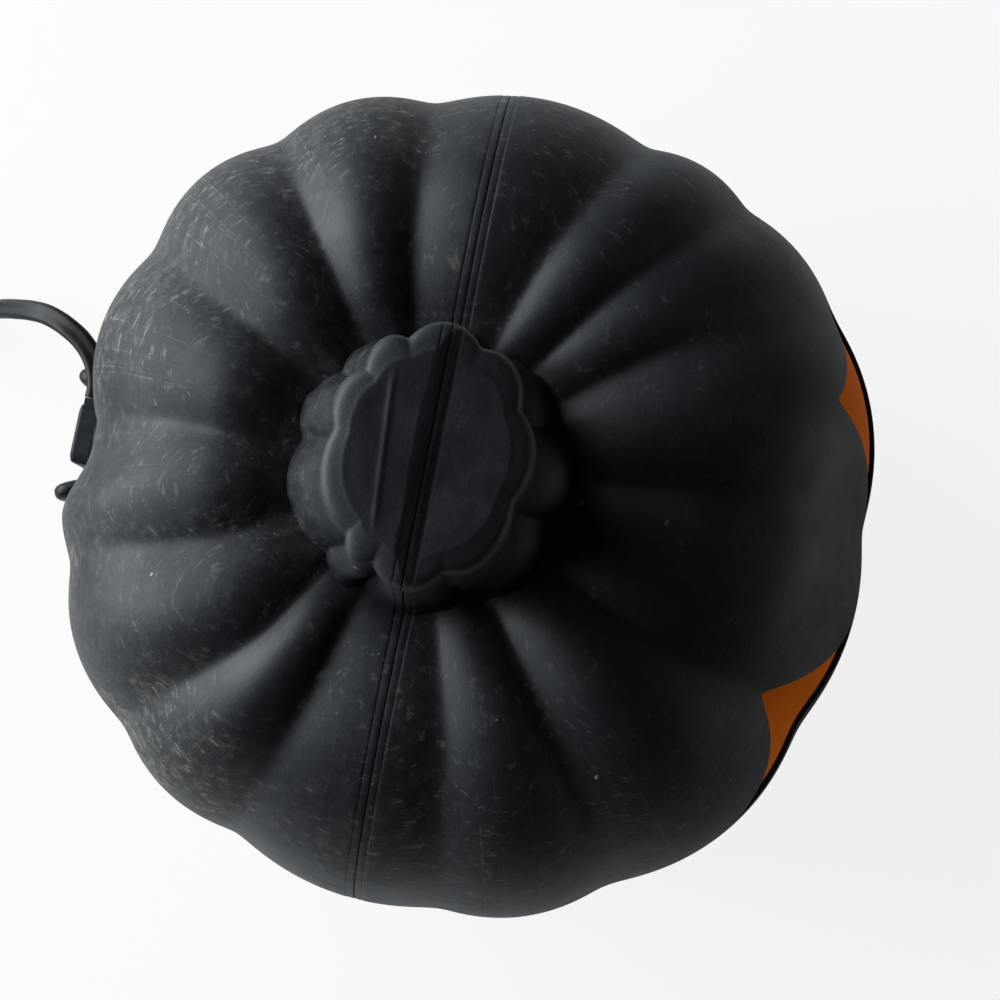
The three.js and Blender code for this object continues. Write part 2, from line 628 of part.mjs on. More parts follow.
function buildSocketMetal() {
  const bottom = shellFloor;
  const shell = turned([
    [THREAD_RADIUS - 1.5, bottom], [shellOuter, bottom], [shellOuter, -SOCKET_LENGTH + 1],
    [shellBore, -SOCKET_LENGTH + 1], [shellBore, bottom - SHEET], [THREAD_RADIUS - 1.5, bottom - SHEET],
  ]);
  addPiece('socket_shell', toGeometry(shell), brass, lamp);

  // Bent strips in the (y, z) plane: a tongue under the bulb, and a foot under the screw shell
  const strip = (points) => {
    const geometry = new THREE.ExtrudeGeometry(polygon(points), { depth: CONTACT_WIDTH, bevelEnabled: false });
    const axes = new THREE.Matrix4().makeBasis(
      new THREE.Vector3(0, 1, 0), new THREE.Vector3(0, 0, 1), new THREE.Vector3(1, 0, 0),
    );
    return toGeometry(toSolid(geometry.applyMatrix4(axes).translate(-CONTACT_WIDTH / 2, 0, 0)));
  };
  const point = flangeFace + 1.5;
  addPiece('centre_contact', strip([
    [tongueY - SHEET, -2.5], [tongueY, -2.5], [tongueY, legZ], [point, legZ], [point + 1, legZ + SHEET / 2],
    [point, legZ + SHEET], [tongueY - SHEET, legZ + SHEET],
  ]), brass, lamp);
  const footY = floorY - GAP;
  addPiece('shell_contact', strip([
    [footY - SHEET, footZ - 1], [footY, footZ - 1], [footY, footZ], [point, footZ],
    [point + 1, footZ + SHEET / 2], [point, footZ + SHEET], [footY - SHEET, footZ + SHEET],
  ]), brass, lamp);
}

// The cover on the socket's back, hollow over the contacts, with the cord's outlet at one end
function buildCordCap() {
  const back = flangeFace + GAP;
  const face = back + CAP_DEPTH;
  const halfHeight = CAP_HEIGHT / 2;
  const rim = new THREE.Shape();
  const corner = 3;
  const [w, h] = [CAP_HALF_WIDTH, halfHeight];
  rim.absarc(w - corner, h - corner, corner, 0, Math.PI / 2, false);
  rim.absarc(corner - w, h - corner, corner, Math.PI / 2, Math.PI, false);
  rim.absarc(corner - w, corner - h, corner, Math.PI, 1.5 * Math.PI, false);
  rim.absarc(w - corner, corner - h, corner, 1.5 * Math.PI, 2 * Math.PI, false);
  const bevel = 0.8;
  const cover = new THREE.ExtrudeGeometry(rim, {
    depth: CAP_DEPTH - bevel, bevelThickness: bevel, bevelSize: bevel, bevelOffset: -bevel, bevelSegments: 2,
    curveSegments: 4,
  });
  // The bevel on the back is trimmed off flat, so that only the outer edge is round
  const shell = toSolid(cover.rotateX(-Math.PI / 2).translate(0, back, 0))
    .intersect(block([-REACH, back, -REACH], [REACH, face, REACH]));
  const outletHalf = CORD_THICKNESS / 2 + 0.5;
  const lip = block(
    [w - corner, back, CORD_OUTLET_Z - outletHalf], [w + OUTLET_LIP, face - bevel, CORD_OUTLET_Z + outletHalf],
  );
  const pocket = block([-w + 1.6, back - 1, -h + 1.6], [w - 1.6, back + 3, CORD_OUTLET_Z - outletHalf - 1]);
  addPiece('cord_cap', toGeometry(shell.add(lip).subtract(pocket)), greyMoulding, lamp);
}

function buildBulb() {
  const tip = tongueY - SHEET - GAP;
  const bead = 1.2;
  const beadProfile = [[0, tip], [1.1, tip - 0.25], [1.9, tip - 0.8], [2, tip - bead], [0, tip - bead]];
  addPiece('bulb_contact', toGeometry(turned(beadProfile, 20)), solder, lamp);

  const insulator = tip - bead - GAP;
  const collar = insulator - 1.7;
  addPiece('bulb_insulator', toGeometry(turned([
    [0, insulator], [2.6, insulator], [THREAD_RADIUS - 1, collar], [0, collar],
  ], 24)), darkGlass, lamp);

  const capTop = collar - GAP;
  const capEnd = capTop - BULB_BASE_LENGTH;
  addPiece('bulb_base', toGeometry(turned([
    [1, capTop], [THREAD_RADIUS - 0.6, capTop], [THREAD_RADIUS, capTop - 0.6], [THREAD_RADIUS, capEnd],
    [THREAD_RADIUS - SHEET, capEnd], [THREAD_RADIUS - SHEET, capTop - SHEET], [1, capTop - SHEET],
  ])), brass, lamp);

  const neck = THREAD_RADIUS - SHEET - GAP;
  const neckEnd = capTop - 3.5;
  const end = tip - BULB_LENGTH;
  const reach = (share) => mix(capEnd, end, share);
  const outerGlass = [
    [neck, neckEnd], [neck, capEnd - 0.6], [0.64 * BULB_RADIUS, reach(0.11)], [0.88 * BULB_RADIUS, reach(0.27)],
    [BULB_RADIUS, reach(0.44)], [0.965 * BULB_RADIUS, reach(0.58)], [0.79 * BULB_RADIUS, reach(0.76)],
    [0.46 * BULB_RADIUS, reach(0.915)], [0.15 * BULB_RADIUS, reach(0.985)], [0, reach(1)],
  ];
  const innerGlass = outerGlass.slice(0, -2).map(([radius, y]) => [radius - GLASS_WALL, y]).reverse();
  const glass = turned([...outerGlass, [0, end + 2 * GLASS_WALL], ...innerGlass], 20);
  addPiece('bulb_glass', toGeometry(glass), clearGlass, lamp);

  const mountRadius = 1.2;
  const mountEnd = reach(0.24);
  addPiece('bulb_mount', toGeometry(turned([
    [0, neckEnd], [neck - GLASS_WALL - GAP, neckEnd], [neck - GLASS_WALL - GAP, neckEnd - 1],
    [mountRadius, neckEnd - 5], [mountRadius, mountEnd], [0, mountEnd],
  ], 16)), clearGlass, lamp);

  const wireX = mountRadius + GAP + WIRE_RADIUS;
  const [low, high] = [neckEnd - 6, reach(0.42)];
  const spread = 0.42 * BULB_RADIUS;
  const path = new THREE.CatmullRomCurve3([
    [-wireX, low], [-wireX, mountEnd], [-spread, high], [-0.5 * spread, high - 1.5], [0, high + 0.2],
    [0.5 * spread, high - 1.5], [spread, high], [wireX, mountEnd], [wireX, low],
  ].map(([x, y]) => new THREE.Vector3(x, y, 0)), false, 'centripetal');
  const wire = new THREE.Shape().absarc(0, 0, WIRE_RADIUS, 0, 2 * Math.PI, false);
  const filament = new THREE.ExtrudeGeometry(wire, { steps: 28, extrudePath: path, curveSegments: 2 });
  addPiece('bulb_filament', toGeometry(toSolid(filament)), steel, lamp);
}

// A curve whose swept section stays level, as a flat cord lies
class LevelCurve extends THREE.CatmullRomCurve3 {
  computeFrenetFrames(segments) {
    const tangents = [];
    const normals = [];
    const binormals = [];
    for (let i = 0; i <= segments; i += 1) {
      const tangent = this.getTangentAt(i / segments);
      const side = new THREE.Vector3(-tangent.y, tangent.x, 0).normalize();
      tangents.push(tangent);
      normals.push(side);
      binormals.push(new THREE.Vector3().crossVectors(tangent, side).normalize());
    }
    return { tangents, normals, binormals };
  }
}

// Points round the flat section: an oval that reaches the cord's full width and thickness
function cordSection(sides) {
  const corners = Array.from({ length: sides }, (_, i) => {
    const turn = (2 * Math.PI * i) / sides;
    return [Math.cos(turn), Math.sin(turn)];
  });
  const highest = Math.max(...corners.map(([, y]) => y));
  return corners.map(([x, y]) => [(x * CORD_WIDTH) / 2, (y * CORD_THICKNESS) / (2 * highest)]);
}

function buildLead() {
  const route = new LevelCurve(LEAD_ROUTE.map((point) => new THREE.Vector3(...point)), false, 'centripetal');
  const lead = new THREE.ExtrudeGeometry(polygon(cordSection(CORD_SIDES)), {
    steps: LEAD_STEPS, extrudePath: route, bevelEnabled: false,
  });
  addPiece('cord_lead', toGeometry(toSolid(lead)), blackMoulding);
}

// The switch follows the lead, the coil follows the switch, and the plug hangs on the coil's last turn
const [switchX, leadEnd, cordHeight] = LEAD_ROUTE.at(-1);
const switchStart = leadEnd + GAP;
const switchEnd = switchStart + SWITCH_LENGTH;
const coilX = switchX - COIL_RADIUS;
const coilY = switchEnd + GAP + COIL_LEAD_IN;

// The coil's centre line: a straight lead-in, layers that spiral in and out, and a straight lead-out
function coilRoute() {
  const points = [];
  const turnsPerLayer = COIL_TURNS / COIL_LAYERS;
  const ease = (share) => THREE.MathUtils.smoothstep(share, 0, 1);
  const straight = COIL_STRAIGHT_STEPS;
  for (let i = 0; i < straight; i += 1) {
    const share = i / straight;
    points.push([
      switchX, coilY - COIL_LEAD_IN * (1 - share), mix(cordHeight, COIL_BOTTOM, ease(share * 1.3 - 0.3)),
    ]);
  }
  const steps = Math.round(COIL_TURNS * COIL_STEPS);
  for (let i = 0; i <= steps; i += 1) {
    const turns = i / COIL_STEPS;
    const phase = turns / turnsPerLayer;
    const inwards = 1 - Math.abs((phase % 2) - 1);
    const radius = COIL_RADIUS - COIL_PITCH * turnsPerLayer * inwards;
    let height = COIL_BOTTOM;
    for (let layer = 1; layer < COIL_LAYERS; layer += 1) {
      height += COIL_LAYER_RISE * ease((turns - layer * turnsPerLayer) / 0.5 + 0.5);
    }
    const angle = 2 * Math.PI * turns;
    points.push([coilX + radius * Math.cos(angle), coilY + radius * Math.sin(angle), height]);
  }
  const [endX, endY, endZ] = points.at(-1);
  for (let i = 1; i <= straight; i += 1) {
    const share = i / straight;
    points.push([endX, endY - COIL_LEAD_OUT * share, mix(endZ, cordHeight, ease(share * 1.3))]);
  }
  return points.map((point) => new THREE.Vector3(...point));
}

function coilRings(points) {
  const section = cordSection(COIL_SIDES);
  return points.map((point, i) => {
    const before = points[Math.max(0, i - 1)];
    const after = points[Math.min(points.length - 1, i + 1)];
    const tangent = after.clone().sub(before);
    if (i === 0 || i === points.length - 1) tangent.set(0, after.y - before.y, 0);
    tangent.normalize();
    const side = new THREE.Vector3(-tangent.y, tangent.x, 0).normalize();
    const up = new THREE.Vector3().crossVectors(tangent, side).normalize();
    return section.map(([x, y]) => point.clone().addScaledVector(side, x).addScaledVector(up, y));
  });
}

// The least gap between stretches of the coil at least half a turn apart, from points to the long edges
function leastCoilGap(rings) {
  let least = Infinity;
  const segment = new THREE.Line3();
  const nearest = new THREE.Vector3();
  rings.forEach((ring, i) => {
    for (let j = 0; j < rings.length - 1; j += 1) {
      if (Math.abs(i - j) < COIL_STEPS / 2 || ring[0].distanceTo(rings[j][0]) > 3 * CORD_WIDTH) continue;
      ring.forEach((corner) => rings[j].forEach((start, k) => {
        segment.set(start, rings[j + 1][k]);
        segment.closestPointToPoint(corner, true, nearest);
        least = Math.min(least, nearest.distanceTo(corner));
      }));
    }
  });
  return least;
}

function buildCoil() {
  const rings = coilRings(coilRoute());
  console.log(`coil: least gap to itself ${leastCoilGap(rings).toFixed(2)} mm`);
  const positions = rings.flat().flatMap((point) => point.toArray());
  const index = [];
  const sides = COIL_SIDES;
  const last = (rings.length - 1) * sides;
  for (let i = 0; i < rings.length - 1; i += 1) {
    for (let k = 0; k < sides; k += 1) {
      const [a, b] = [i * sides + k, i * sides + ((k + 1) % sides)];
      index.push(a, b, b + sides, a, b + sides, a + sides);
    }
  }
  for (let k = 1; k < sides - 1; k += 1) index.push(0, k + 1, k, last, last + k, last + k + 1);
  const geometry = new THREE.BufferGeometry();
  geometry.setAttribute('position', new THREE.Float32BufferAttribute(positions, 3));
  geometry.setIndex(index);
  addPiece('cord_coil', toGeometry(toSolid(geometry)), blackMoulding);
}

// Half of the switch housing, from its outer face at z0 to the split at z1
function switchHalf(z0, z1) {
  const [w, e, l] = [SWITCH_WIDTH / 2, SWITCH_END_WIDTH / 2, SWITCH_LENGTH / 2];
  const plan = new THREE.Shape();
  plan.moveTo(e, -l);
  plan.bezierCurveTo(e + 2, -0.8 * l, w, -0.7 * l, w, -0.35 * l);
  plan.lineTo(w, 0.35 * l);
  plan.bezierCurveTo(w, 0.7 * l, e + 2, 0.8 * l, e, l);
  plan.lineTo(-e, l);
  plan.bezierCurveTo(-e - 2, 0.8 * l, -w, 0.7 * l, -w, 0.35 * l);
  plan.lineTo(-w, -0.35 * l);
  plan.bezierCurveTo(-w, -0.7 * l, -e - 2, -0.8 * l, -e, -l);
  const bevel = 1.2;
  const rounded = new THREE.ExtrudeGeometry(plan, {
    depth: SWITCH_HEIGHT - 2 * bevel, bevelThickness: bevel, bevelSize: bevel, bevelOffset: -bevel,
    bevelSegments: 1, curveSegments: 4,
  });
  const housing = toSolid(rounded.translate(0, 0, bevel));
  const middle = SWITCH_HEIGHT / 2;
  const room = WHEEL_THICKNESS / 2 + GAP;
  const wheelRoom = pillar(WHEEL_RADIUS + GAP, middle - room, middle + room, WHEEL_OFFSET, 0, 24);
  const stripRoom = STRIPS.map(([x0, y0, x1, y1]) => block(
    [x0 - GAP, y0 - GAP, middle - STRIP_HALF_HEIGHT - GAP], [x1 + GAP, y1 + GAP, middle + STRIP_HALF_HEIGHT + GAP],
  ));
  const headRoom = RIVET_HEAD_THICKNESS + GAP;
  const rivetHole = pillar(RIVET_RADIUS + GAP, -1, SWITCH_HEIGHT + 1, WHEEL_OFFSET, 0);
  const sinks = [[-1, headRoom], [SWITCH_HEIGHT - headRoom, SWITCH_HEIGHT + 1]]
    .map(([low, high]) => pillar(RIVET_HEAD + GAP, low, high, WHEEL_OFFSET, 0));
  return [wheelRoom, rivetHole, ...stripRoom, ...sinks]
    .reduce((solid, cut) => solid.subtract(cut), housing)
    .intersect(block([-REACH, -REACH, z0], [REACH, REACH, z1]));
}

function buildSwitch() {
  const group = new THREE.Group();
  group.position.set(switchX, (switchStart + switchEnd) / 2, 0);
  model.add(group);
  const middle = SWITCH_HEIGHT / 2;
  addPiece('switch_bottom', toGeometry(switchHalf(0, middle - GAP / 2)), blackMoulding, group);
  addPiece('switch_top', toGeometry(switchHalf(middle + GAP / 2, SWITCH_HEIGHT)), blackMoulding, group);

  const rim = [];
  for (let i = 0; i < 2 * WHEEL_NOTCHES; i += 1) {
    const radius = WHEEL_RADIUS - (i % 2 ? NOTCH_DEPTH : 0);
    const turn = (Math.PI * i) / WHEEL_NOTCHES;
    rim.push([WHEEL_OFFSET + radius * Math.cos(turn), radius * Math.sin(turn)]);
  }
  const wheel = prismAlongZ(polygon(rim), middle - WHEEL_THICKNESS / 2, middle + WHEEL_THICKNESS / 2)
    .subtract(pillar(RIVET_RADIUS + GAP, 0, SWITCH_HEIGHT, WHEEL_OFFSET, 0));
  addPiece('switch_wheel', toGeometry(wheel), blackMoulding, group);

  const rivet = pillar(RIVET_RADIUS, GAP, SWITCH_HEIGHT - GAP, WHEEL_OFFSET, 0)
    .add(pillar(RIVET_HEAD, GAP, RIVET_HEAD_THICKNESS, WHEEL_OFFSET, 0))
    .add(pillar(RIVET_HEAD, SWITCH_HEIGHT - RIVET_HEAD_THICKNESS, SWITCH_HEIGHT - GAP, WHEEL_OFFSET, 0));
  addPiece('switch_rivet', toGeometry(rivet), brass, group);

  STRIPS.forEach(([x0, y0, x1, y1], i) => {
    const strip = block([x0, y0, middle - STRIP_HALF_HEIGHT], [x1, y1, middle + STRIP_HALF_HEIGHT]);
    addPiece(`switch_strip_${i + 1}`, toGeometry(strip), brass, group);
  });
}

// The plug points back towards the object, its blades along -Y
function buildPlug() {
  const group = new THREE.Group();
  group.position.set(coilX - COIL_RADIUS, coilY - COIL_LEAD_OUT, cordHeight);
  model.add(group);
  const [w, n, l, t] = [PLUG_WIDTH / 2, PLUG_NECK / 2, PLUG_LENGTH, PLUG_THICKNESS / 2];
  const plan = new THREE.Shape();
  plan.moveTo(-n, 0);
  plan.bezierCurveTo(-n, -0.3 * l, -w, -0.35 * l, -w, -0.55 * l);
  plan.lineTo(-w, -l);
  plan.lineTo(w, -l);
  plan.lineTo(w, -0.55 * l);
  plan.bezierCurveTo(w, -0.35 * l, n, -0.3 * l, n, 0);
  const shape = new THREE.ExtrudeGeometry(plan, {
    depth: PLUG_THICKNESS - 2 * PLUG_BEVEL, bevelThickness: PLUG_BEVEL, bevelSize: PLUG_BEVEL,
    bevelOffset: -PLUG_BEVEL, bevelSegments: 1, curveSegments: 4,
  });
  let body = toSolid(shape.translate(0, 0, PLUG_BEVEL - t)).intersect(block([-w, -l, -t], [w, -GAP, t]));
  const blades = [['plug_blade_wide', -1, WIDE_BLADE], ['plug_blade_narrow', 1, NARROW_BLADE]];
  const front = -l;
  blades.forEach(([name, side, width]) => {
    const x = (side * BLADE_SPACING) / 2;
    const [thick, half] = [BLADE_THICKNESS / 2, width / 2];
    body = body.subtract(block(
      [x - thick - GAP, front - 1, -half - GAP], [x + thick + GAP, front + BLADE_DEPTH, half + GAP],
    ));
    const blade = block([x - thick, front - BLADE_LENGTH, -half], [x + thick, front + BLADE_DEPTH - GAP, half]);
    const hole = new THREE.CylinderGeometry(BLADE_HOLE, BLADE_HOLE, 4, 16).rotateZ(Math.PI / 2);
    const pierced = blade.subtract(toSolid(hole.translate(x, front - 0.75 * BLADE_LENGTH, 0)));
    addPiece(name, toGeometry(pierced), brass, group);
  });
  addPiece('plug_body', toGeometry(body), blackMoulding, group);
}

buildShells();
buildLiner();
buildHolder();
buildArm('clip_arm_right', 1);
buildArm('clip_arm_left', -1);
buildSocketMetal();
buildCordCap();
buildBulb();
buildLead();
buildSwitch();
buildCoil();
buildPlug();

export default model;
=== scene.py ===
# Looks of the light-up jack-o-lantern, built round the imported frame: +Z up, the face towards -Y, the lamp and
# its cord at +Y. Lengths are in millimetres, but in metres in the materials, the lights and the camera's reach.

import math

import bmesh
import bpy
import numpy as np
from mathutils import Matrix, Vector


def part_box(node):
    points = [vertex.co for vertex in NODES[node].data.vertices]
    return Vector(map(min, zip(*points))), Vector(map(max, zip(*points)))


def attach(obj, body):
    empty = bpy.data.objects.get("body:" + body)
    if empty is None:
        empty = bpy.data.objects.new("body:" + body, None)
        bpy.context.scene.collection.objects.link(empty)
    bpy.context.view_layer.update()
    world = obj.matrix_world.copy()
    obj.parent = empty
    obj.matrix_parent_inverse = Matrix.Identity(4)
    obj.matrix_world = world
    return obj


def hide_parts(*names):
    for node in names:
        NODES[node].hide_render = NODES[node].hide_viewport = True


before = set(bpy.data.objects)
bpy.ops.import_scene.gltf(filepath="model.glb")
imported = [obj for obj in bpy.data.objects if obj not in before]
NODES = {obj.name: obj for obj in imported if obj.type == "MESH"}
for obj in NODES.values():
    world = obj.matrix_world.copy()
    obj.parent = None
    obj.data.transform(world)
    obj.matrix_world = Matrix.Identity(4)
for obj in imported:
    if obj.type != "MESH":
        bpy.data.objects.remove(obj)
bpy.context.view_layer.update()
MM = 0.001
TINY = 1e-9

# Body, with the same driving sizes as the CAD source
GAP = 0.3
AXIS_X, AXIS_Y = -0.4, 3.5
BODY_RADIUS = 107.0
FAR = 2 * BODY_RADIUS
WIDEST_HEIGHT = 82.0
SHOULDER_RISE = 71.5
WALL = 2.0
RIB_ROUNDNESS = 0.62
# Ribs: direction of the first valley in degrees, its radius as a share, the rib's height, its turn to the stem
RIBS = [
    (-54.9, 1.024, 1.3, 4), (-36.7, 0.994, 1.7, 3), (-20.2, 0.959, 2, 5), (11.7, 0.927, 2.5, 5.5),
    (36.3, 0.918, 2.6, 2.5), (61.4, 0.889, 2.4, 2), (89.6, 0.831, 2.3, 1.5), (112.3, 0.884, 2.2, 6),
    (137.5, 0.917, 2.1, 7), (160.2, 0.921, 1.5, 1.5), (190.3, 0.963, 2.3, 2), (213.8, 0.99, 3.2, 1),
    (248.3, 1.001, 1.4, -6), (275.5, 0.997, 2.1, 0.5),
]
TURN_FROM_SHARE, TURN_TO_SHARE = 0.97, 0.45
TURN_ROUNDS = 5
VALLEY_SOFTNESS, LOBE_SOFTNESS = 0.26, 0.12
# Body's outline: radius as a share, level (-1 foot, 0 widest, 1 shoulder), ribs' height as a share
BODY_PROFILE = [
    (0.52, -1, 0), (0.68, -0.94, 0.5), (0.83, -0.77, 0.8), (0.945, -0.46, 0.95), (1, 0, 1), (0.975, 0.36, 1.25),
    (0.9, 0.66, 1.5), (0.77, 0.87, 1.6), (0.6, 0.985, 1.6), (0.44, 1, 1.3),
]
ROOT_LEVEL = 0.96
ROOT_RELIEF = 0.4
ROUND_FROM_SHARE = 0.62
STEM_ROOT_RADIUS = 29.8
# Stem's outline: radius, height above the root, height of the lobes
STEM_PROFILE = [
    (29.8, 0, 2.4), (27.4, 5, 3.5), (24.8, 14, 3.2), (23.2, 26, 2.8), (23, 36, 2.6), (23.6, 41, 2.4),
    (22.6, 44, 1.8), (19, 45.2, 0.8),
]
STEM_VALLEYS = [25, 53, 86, 139, 160.5, 204, 256, 300, 340]
STEM_OVAL_HEIGHT = 20
STEM_RIBS_END = 4.0
STEM_OFFSET_X, STEM_OFFSET_Y = -1.2, 1.6
STEM_WIDER, STEM_NARROWER = 0.08, 0.15
TONGUE_LENGTH, TONGUE_ROOT, REBATE_START = 3.0, 0.5, 1.0
RECESS_RADIUS, RECESS_DEPTH, RECESS_TAPER = 40.0, 4.0, 2.0
# Flat dent beside the clip: direction and half width in degrees, depth, and between which shares it comes in
DENT_BEARING, DENT_HALF_ANGLE, DENT_DEPTH = 96.6, 9.5, 4.0
DENT_FROM_SHARE, DENT_FULL_SHARE = 0.6, 0.85

# Seam: where it lies, how far from it the mesh's columns are at the reference radius, and how deep its sunken
# band, the line at each side of that band, and its middle groove are, as shares of the depth
SEAM_Y = 5.0
SEAM_OFFSETS = [0.15, 0.35, 0.6, 0.9, 1.3, 1.6, 1.8, 1.95, 2.1, 2.3, 2.6, 3.2, 4.0]
SEAM_REFERENCE = 100.0
SEAM_DEPTH = 0.17
SEAM_BAND, SEAM_BAND_INNER, SEAM_BAND_OUTER = 0.45, 1.8, 2.1
SEAM_LINE, SEAM_LINE_PLACE, SEAM_LINE_WIDTH = 0.55, 1.95, 0.24
SEAM_GROOVE, SEAM_GROOVE_INNER, SEAM_GROOVE_OUTER = 0.5, 0.15, 0.55
SEAM_FADE_HEIGHT = 10
SEAM_LIMIT, EDGE_LIMIT = 0.95, 0.9
VALLEY_MEAN_SHARE = 0.95

# Top of the stem: its crown, waves, ridge, and the wedge cut across it
TOP_CROWN, TOP_RIM_POWER, TOP_WAVES_FROM = 0.2, 12, 0.25
WAVE_HEIGHT, RIPPLE_HEIGHT = 0.16, 0.04
RIDGE_HEIGHT, RIDGE_WIDTH, RIDGE_SLANT, RIDGE_Y = 0.2, 0.65, 0.07, 14.0
CUT_WIDTH, CUT_DEPTH, CUT_Y, CUT_HALF_LENGTH = 4.8, 1.65, 2.5, 60
CUT_ABOVE, CUT_FLOOR, CUT_LEAN = 4.0, 0.4, 0.5

# Mesh detail: degrees between columns, rows up the body, rows up the stem
OUTER_DETAIL, INNER_DETAIL, LAP_DETAIL = (0.9, 150, 70), (2.4, 60, 24), (2.4, 90, 40)
THIN_DETAIL, LINER_DETAIL = (1.8, 90, 20), (1.8, 60, 12)
TOP_RINGS = 48
COLUMN_SHIFT = 0.37
ROUND_SEGMENTS, ROD_SEGMENTS = 96, 24
SLAB_BELOW = 10
INNER_LOBES = 0.4
CREASE, SHELL_CREASE, CORD_CREASE, PEBBLE_CREASE = 35, 40, 50, 60

# Face, seat and liner
EYE = [(13, 110), (66, 111.5), (35, 139)]
NOSE = [(-9, 82), (9, 82), (0, 99)]
MOUTH_HALF_WIDTH, MOUTH_CORNER, MOUTH_TOP, MOUTH_BOTTOM = 50.0, 66.0, 48.0, 26.0
MOUTH_POINTS = 61
UPPER_TEETH_X, TOOTH_WIDTH, TOOTH_HEIGHT = 19.0, 9.0, 9.0
FACE_CORNER = 0.9
FACE_BACK = -BODY_RADIUS / 4
SEAT_DISTANCE, SEAT_RADIUS, LAMP_HEIGHT, HOLE_RADIUS = 90.2, 29.0, 60.0, 16.1
SEAT_Y = AXIS_Y + SEAT_DISTANCE
SEAT_ROOT = SEAT_Y - SEAT_RADIUS
LINER_THICKNESS, LINER_DEPTH, LINER_STAND_OFF = 0.8, 1.15, 4.2
LINER_NEAR_ABOVE, LINER_OFF_BELOW = 109.0, 97.0
THIN_WALL, THIN_ABOVE, THIN_MARGIN = 0.85, 103.0, 1.5
WASHER_NEAR, WASHER_STAND_OFF, WASHER_NEAR_ABOVE, WASHER_OFF_BELOW = 1.6, 3.2, 122.0, 98.0
LINER_HALF_WIDTH, LINER_BOTTOM, LINER_TOP, LINER_CORNER = 68.0, 16.0, 145.0, 14.0
STUD_RADIUS, STUD_IN_WALL, STUD_LENGTH = 1.6, 1.4, 2.4
STUD_HOLE_OUTWARD, STUD_HOLE_INWARD = 8, 2

# Cord, coil, switch and plug
CORD_WIDTH, CORD_THICKNESS = 5.6, 2.8
LEAD_ROUTE = [
    (9.4, 99.5, 68.4), (12.6, 99.5, 68.4), (18.9, 101.7, 68.4), (23.7, 105.8, 68.1), (27.1, 111.2, 67.2),
    (29.4, 117.1, 65), (30.3, 122.5, 61.2), (30.7, 127.7, 55.8), (31.1, 132.9, 48.9), (31.4, 138, 40.9),
    (31.7, 143, 32.7), (32.1, 148.5, 24.4), (32.5, 155, 16.6), (32.9, 162.5, 10.4), (33.3, 170.5, 6.9),
    (33.5, 176, 6.1), (33.6, 181, 6),
]
COIL_RADIUS, COIL_TURNS, COIL_LAYERS, COIL_STEPS = 37.0, 8.5, 4, 24
COIL_PITCH, COIL_LAYER_RISE, COIL_BOTTOM = 6.1, 3.3, 1.9
COIL_LEAD_IN, COIL_LEAD_OUT, COIL_STRAIGHT_STEPS = 22.0, 30.0, 5
COIL_EASE, COIL_EASE_DELAY, COIL_RISE_TURNS = 1.3, 0.3, 0.5
LEAD_POINTS, LEAD_SECTION, COIL_SECTION = 97, 9, 7
CONDUCTOR_WRAP = 2.2
SWITCH_LENGTH = 58.0
SWITCH_X, LEAD_END, CORD_HEIGHT = LEAD_ROUTE[-1]
SWITCH_END = LEAD_END + GAP + SWITCH_LENGTH
COIL_X = SWITCH_X - COIL_RADIUS
COIL_Y = SWITCH_END + GAP + COIL_LEAD_IN
TIE_WIDTH, TIE_THICKNESS, TIE_CORNER = 4.4, 0.3, 2.5
TIE_SLACK_SIDES, TIE_SLACK_BELOW, TIE_SLACK_ABOVE = 0.4, 0.15, 0.3
TIE_HEAD, TIE_HEAD_RISE, TIE_HEAD_SQUARENESS = (3.2, 2.6, 1.5), 1.4, 0.4

# Finger pads of the clips: direction across the front, half sizes, and how far their middle is from the tip
PAD_SIDEWAYS, PAD_REARWARD = 0.42, 0.907
PAD_HALF_LENGTH, PAD_HALF_THICKNESS, PAD_HALF_HEIGHT = 4.9, 2.5, 6.6
PAD_INSET_X, PAD_INSET_Y = 4.1, 1.1
PEBBLE_SQUARENESS, PEBBLE_TURNS, PEBBLE_ROWS = 0.75, 28, 14

# Bulb's screw base: its sheet, its thread, and the cup round the insulator, in distances from end and side
BASE_SHEET, BASE_CLEARANCE, BASE_COLUMNS, BASE_ROWS = 0.3, 0.03, 64, 45
THREAD_PITCH, THREAD_DEPTH, THREAD_START, THREAD_END, THREAD_STOP = 2.54, 0.2, 1.5, 2.4, 1
CUP_START, CUP_HOLE = 0.9, 1.05
CUP_OUTSIDE, CUP_INSIDE = [(0.45, 0.5), (0.1, 1.2), (0, 2.2)], [(0, 2.2), (0.1, 1.4)]

# Small rounded edges of the pieces that stay as the source made them
EDGE_WIDTHS = {
    "lamp_holder": 0.4, "clip_arm_right": 0.35, "clip_arm_left": 0.35, "cord_cap": 0.5, "switch_bottom": 0.6,
    "switch_top": 0.6, "switch_wheel": 0.25, "plug_body": 0.6, "plug_blade_wide": 0.2,
    "plug_blade_narrow": 0.2, "switch_rivet": 0.3,
}
EDGE_ANGLE = 40

# Camera, from where the stem and the widest outline lie in the photograph
VIEW_RIGHT = Vector((0.192, -0.9814, 0.0))
VIEW_BACK = Vector((-0.09, 0.0, 0.996))
VIEW_TARGET = Vector((2.3, -11.2, 82.0))
VIEW_DISTANCE = 520.0
PIXELS_PER_MM = 3.87
IMAGE_PIXELS = 1000
SENSOR = 36.0
CAMERA_REACH = 20

# Floor and background
FLOOR_HALF_WIDTH = 4000
FLOOR_GLOW = 0.85
WORLD_LIGHT = 0.03


def linked(name, data):
    """A new object in the scene."""
    obj = bpy.data.objects.new(name, data)
    bpy.context.scene.collection.objects.link(obj)
    return obj


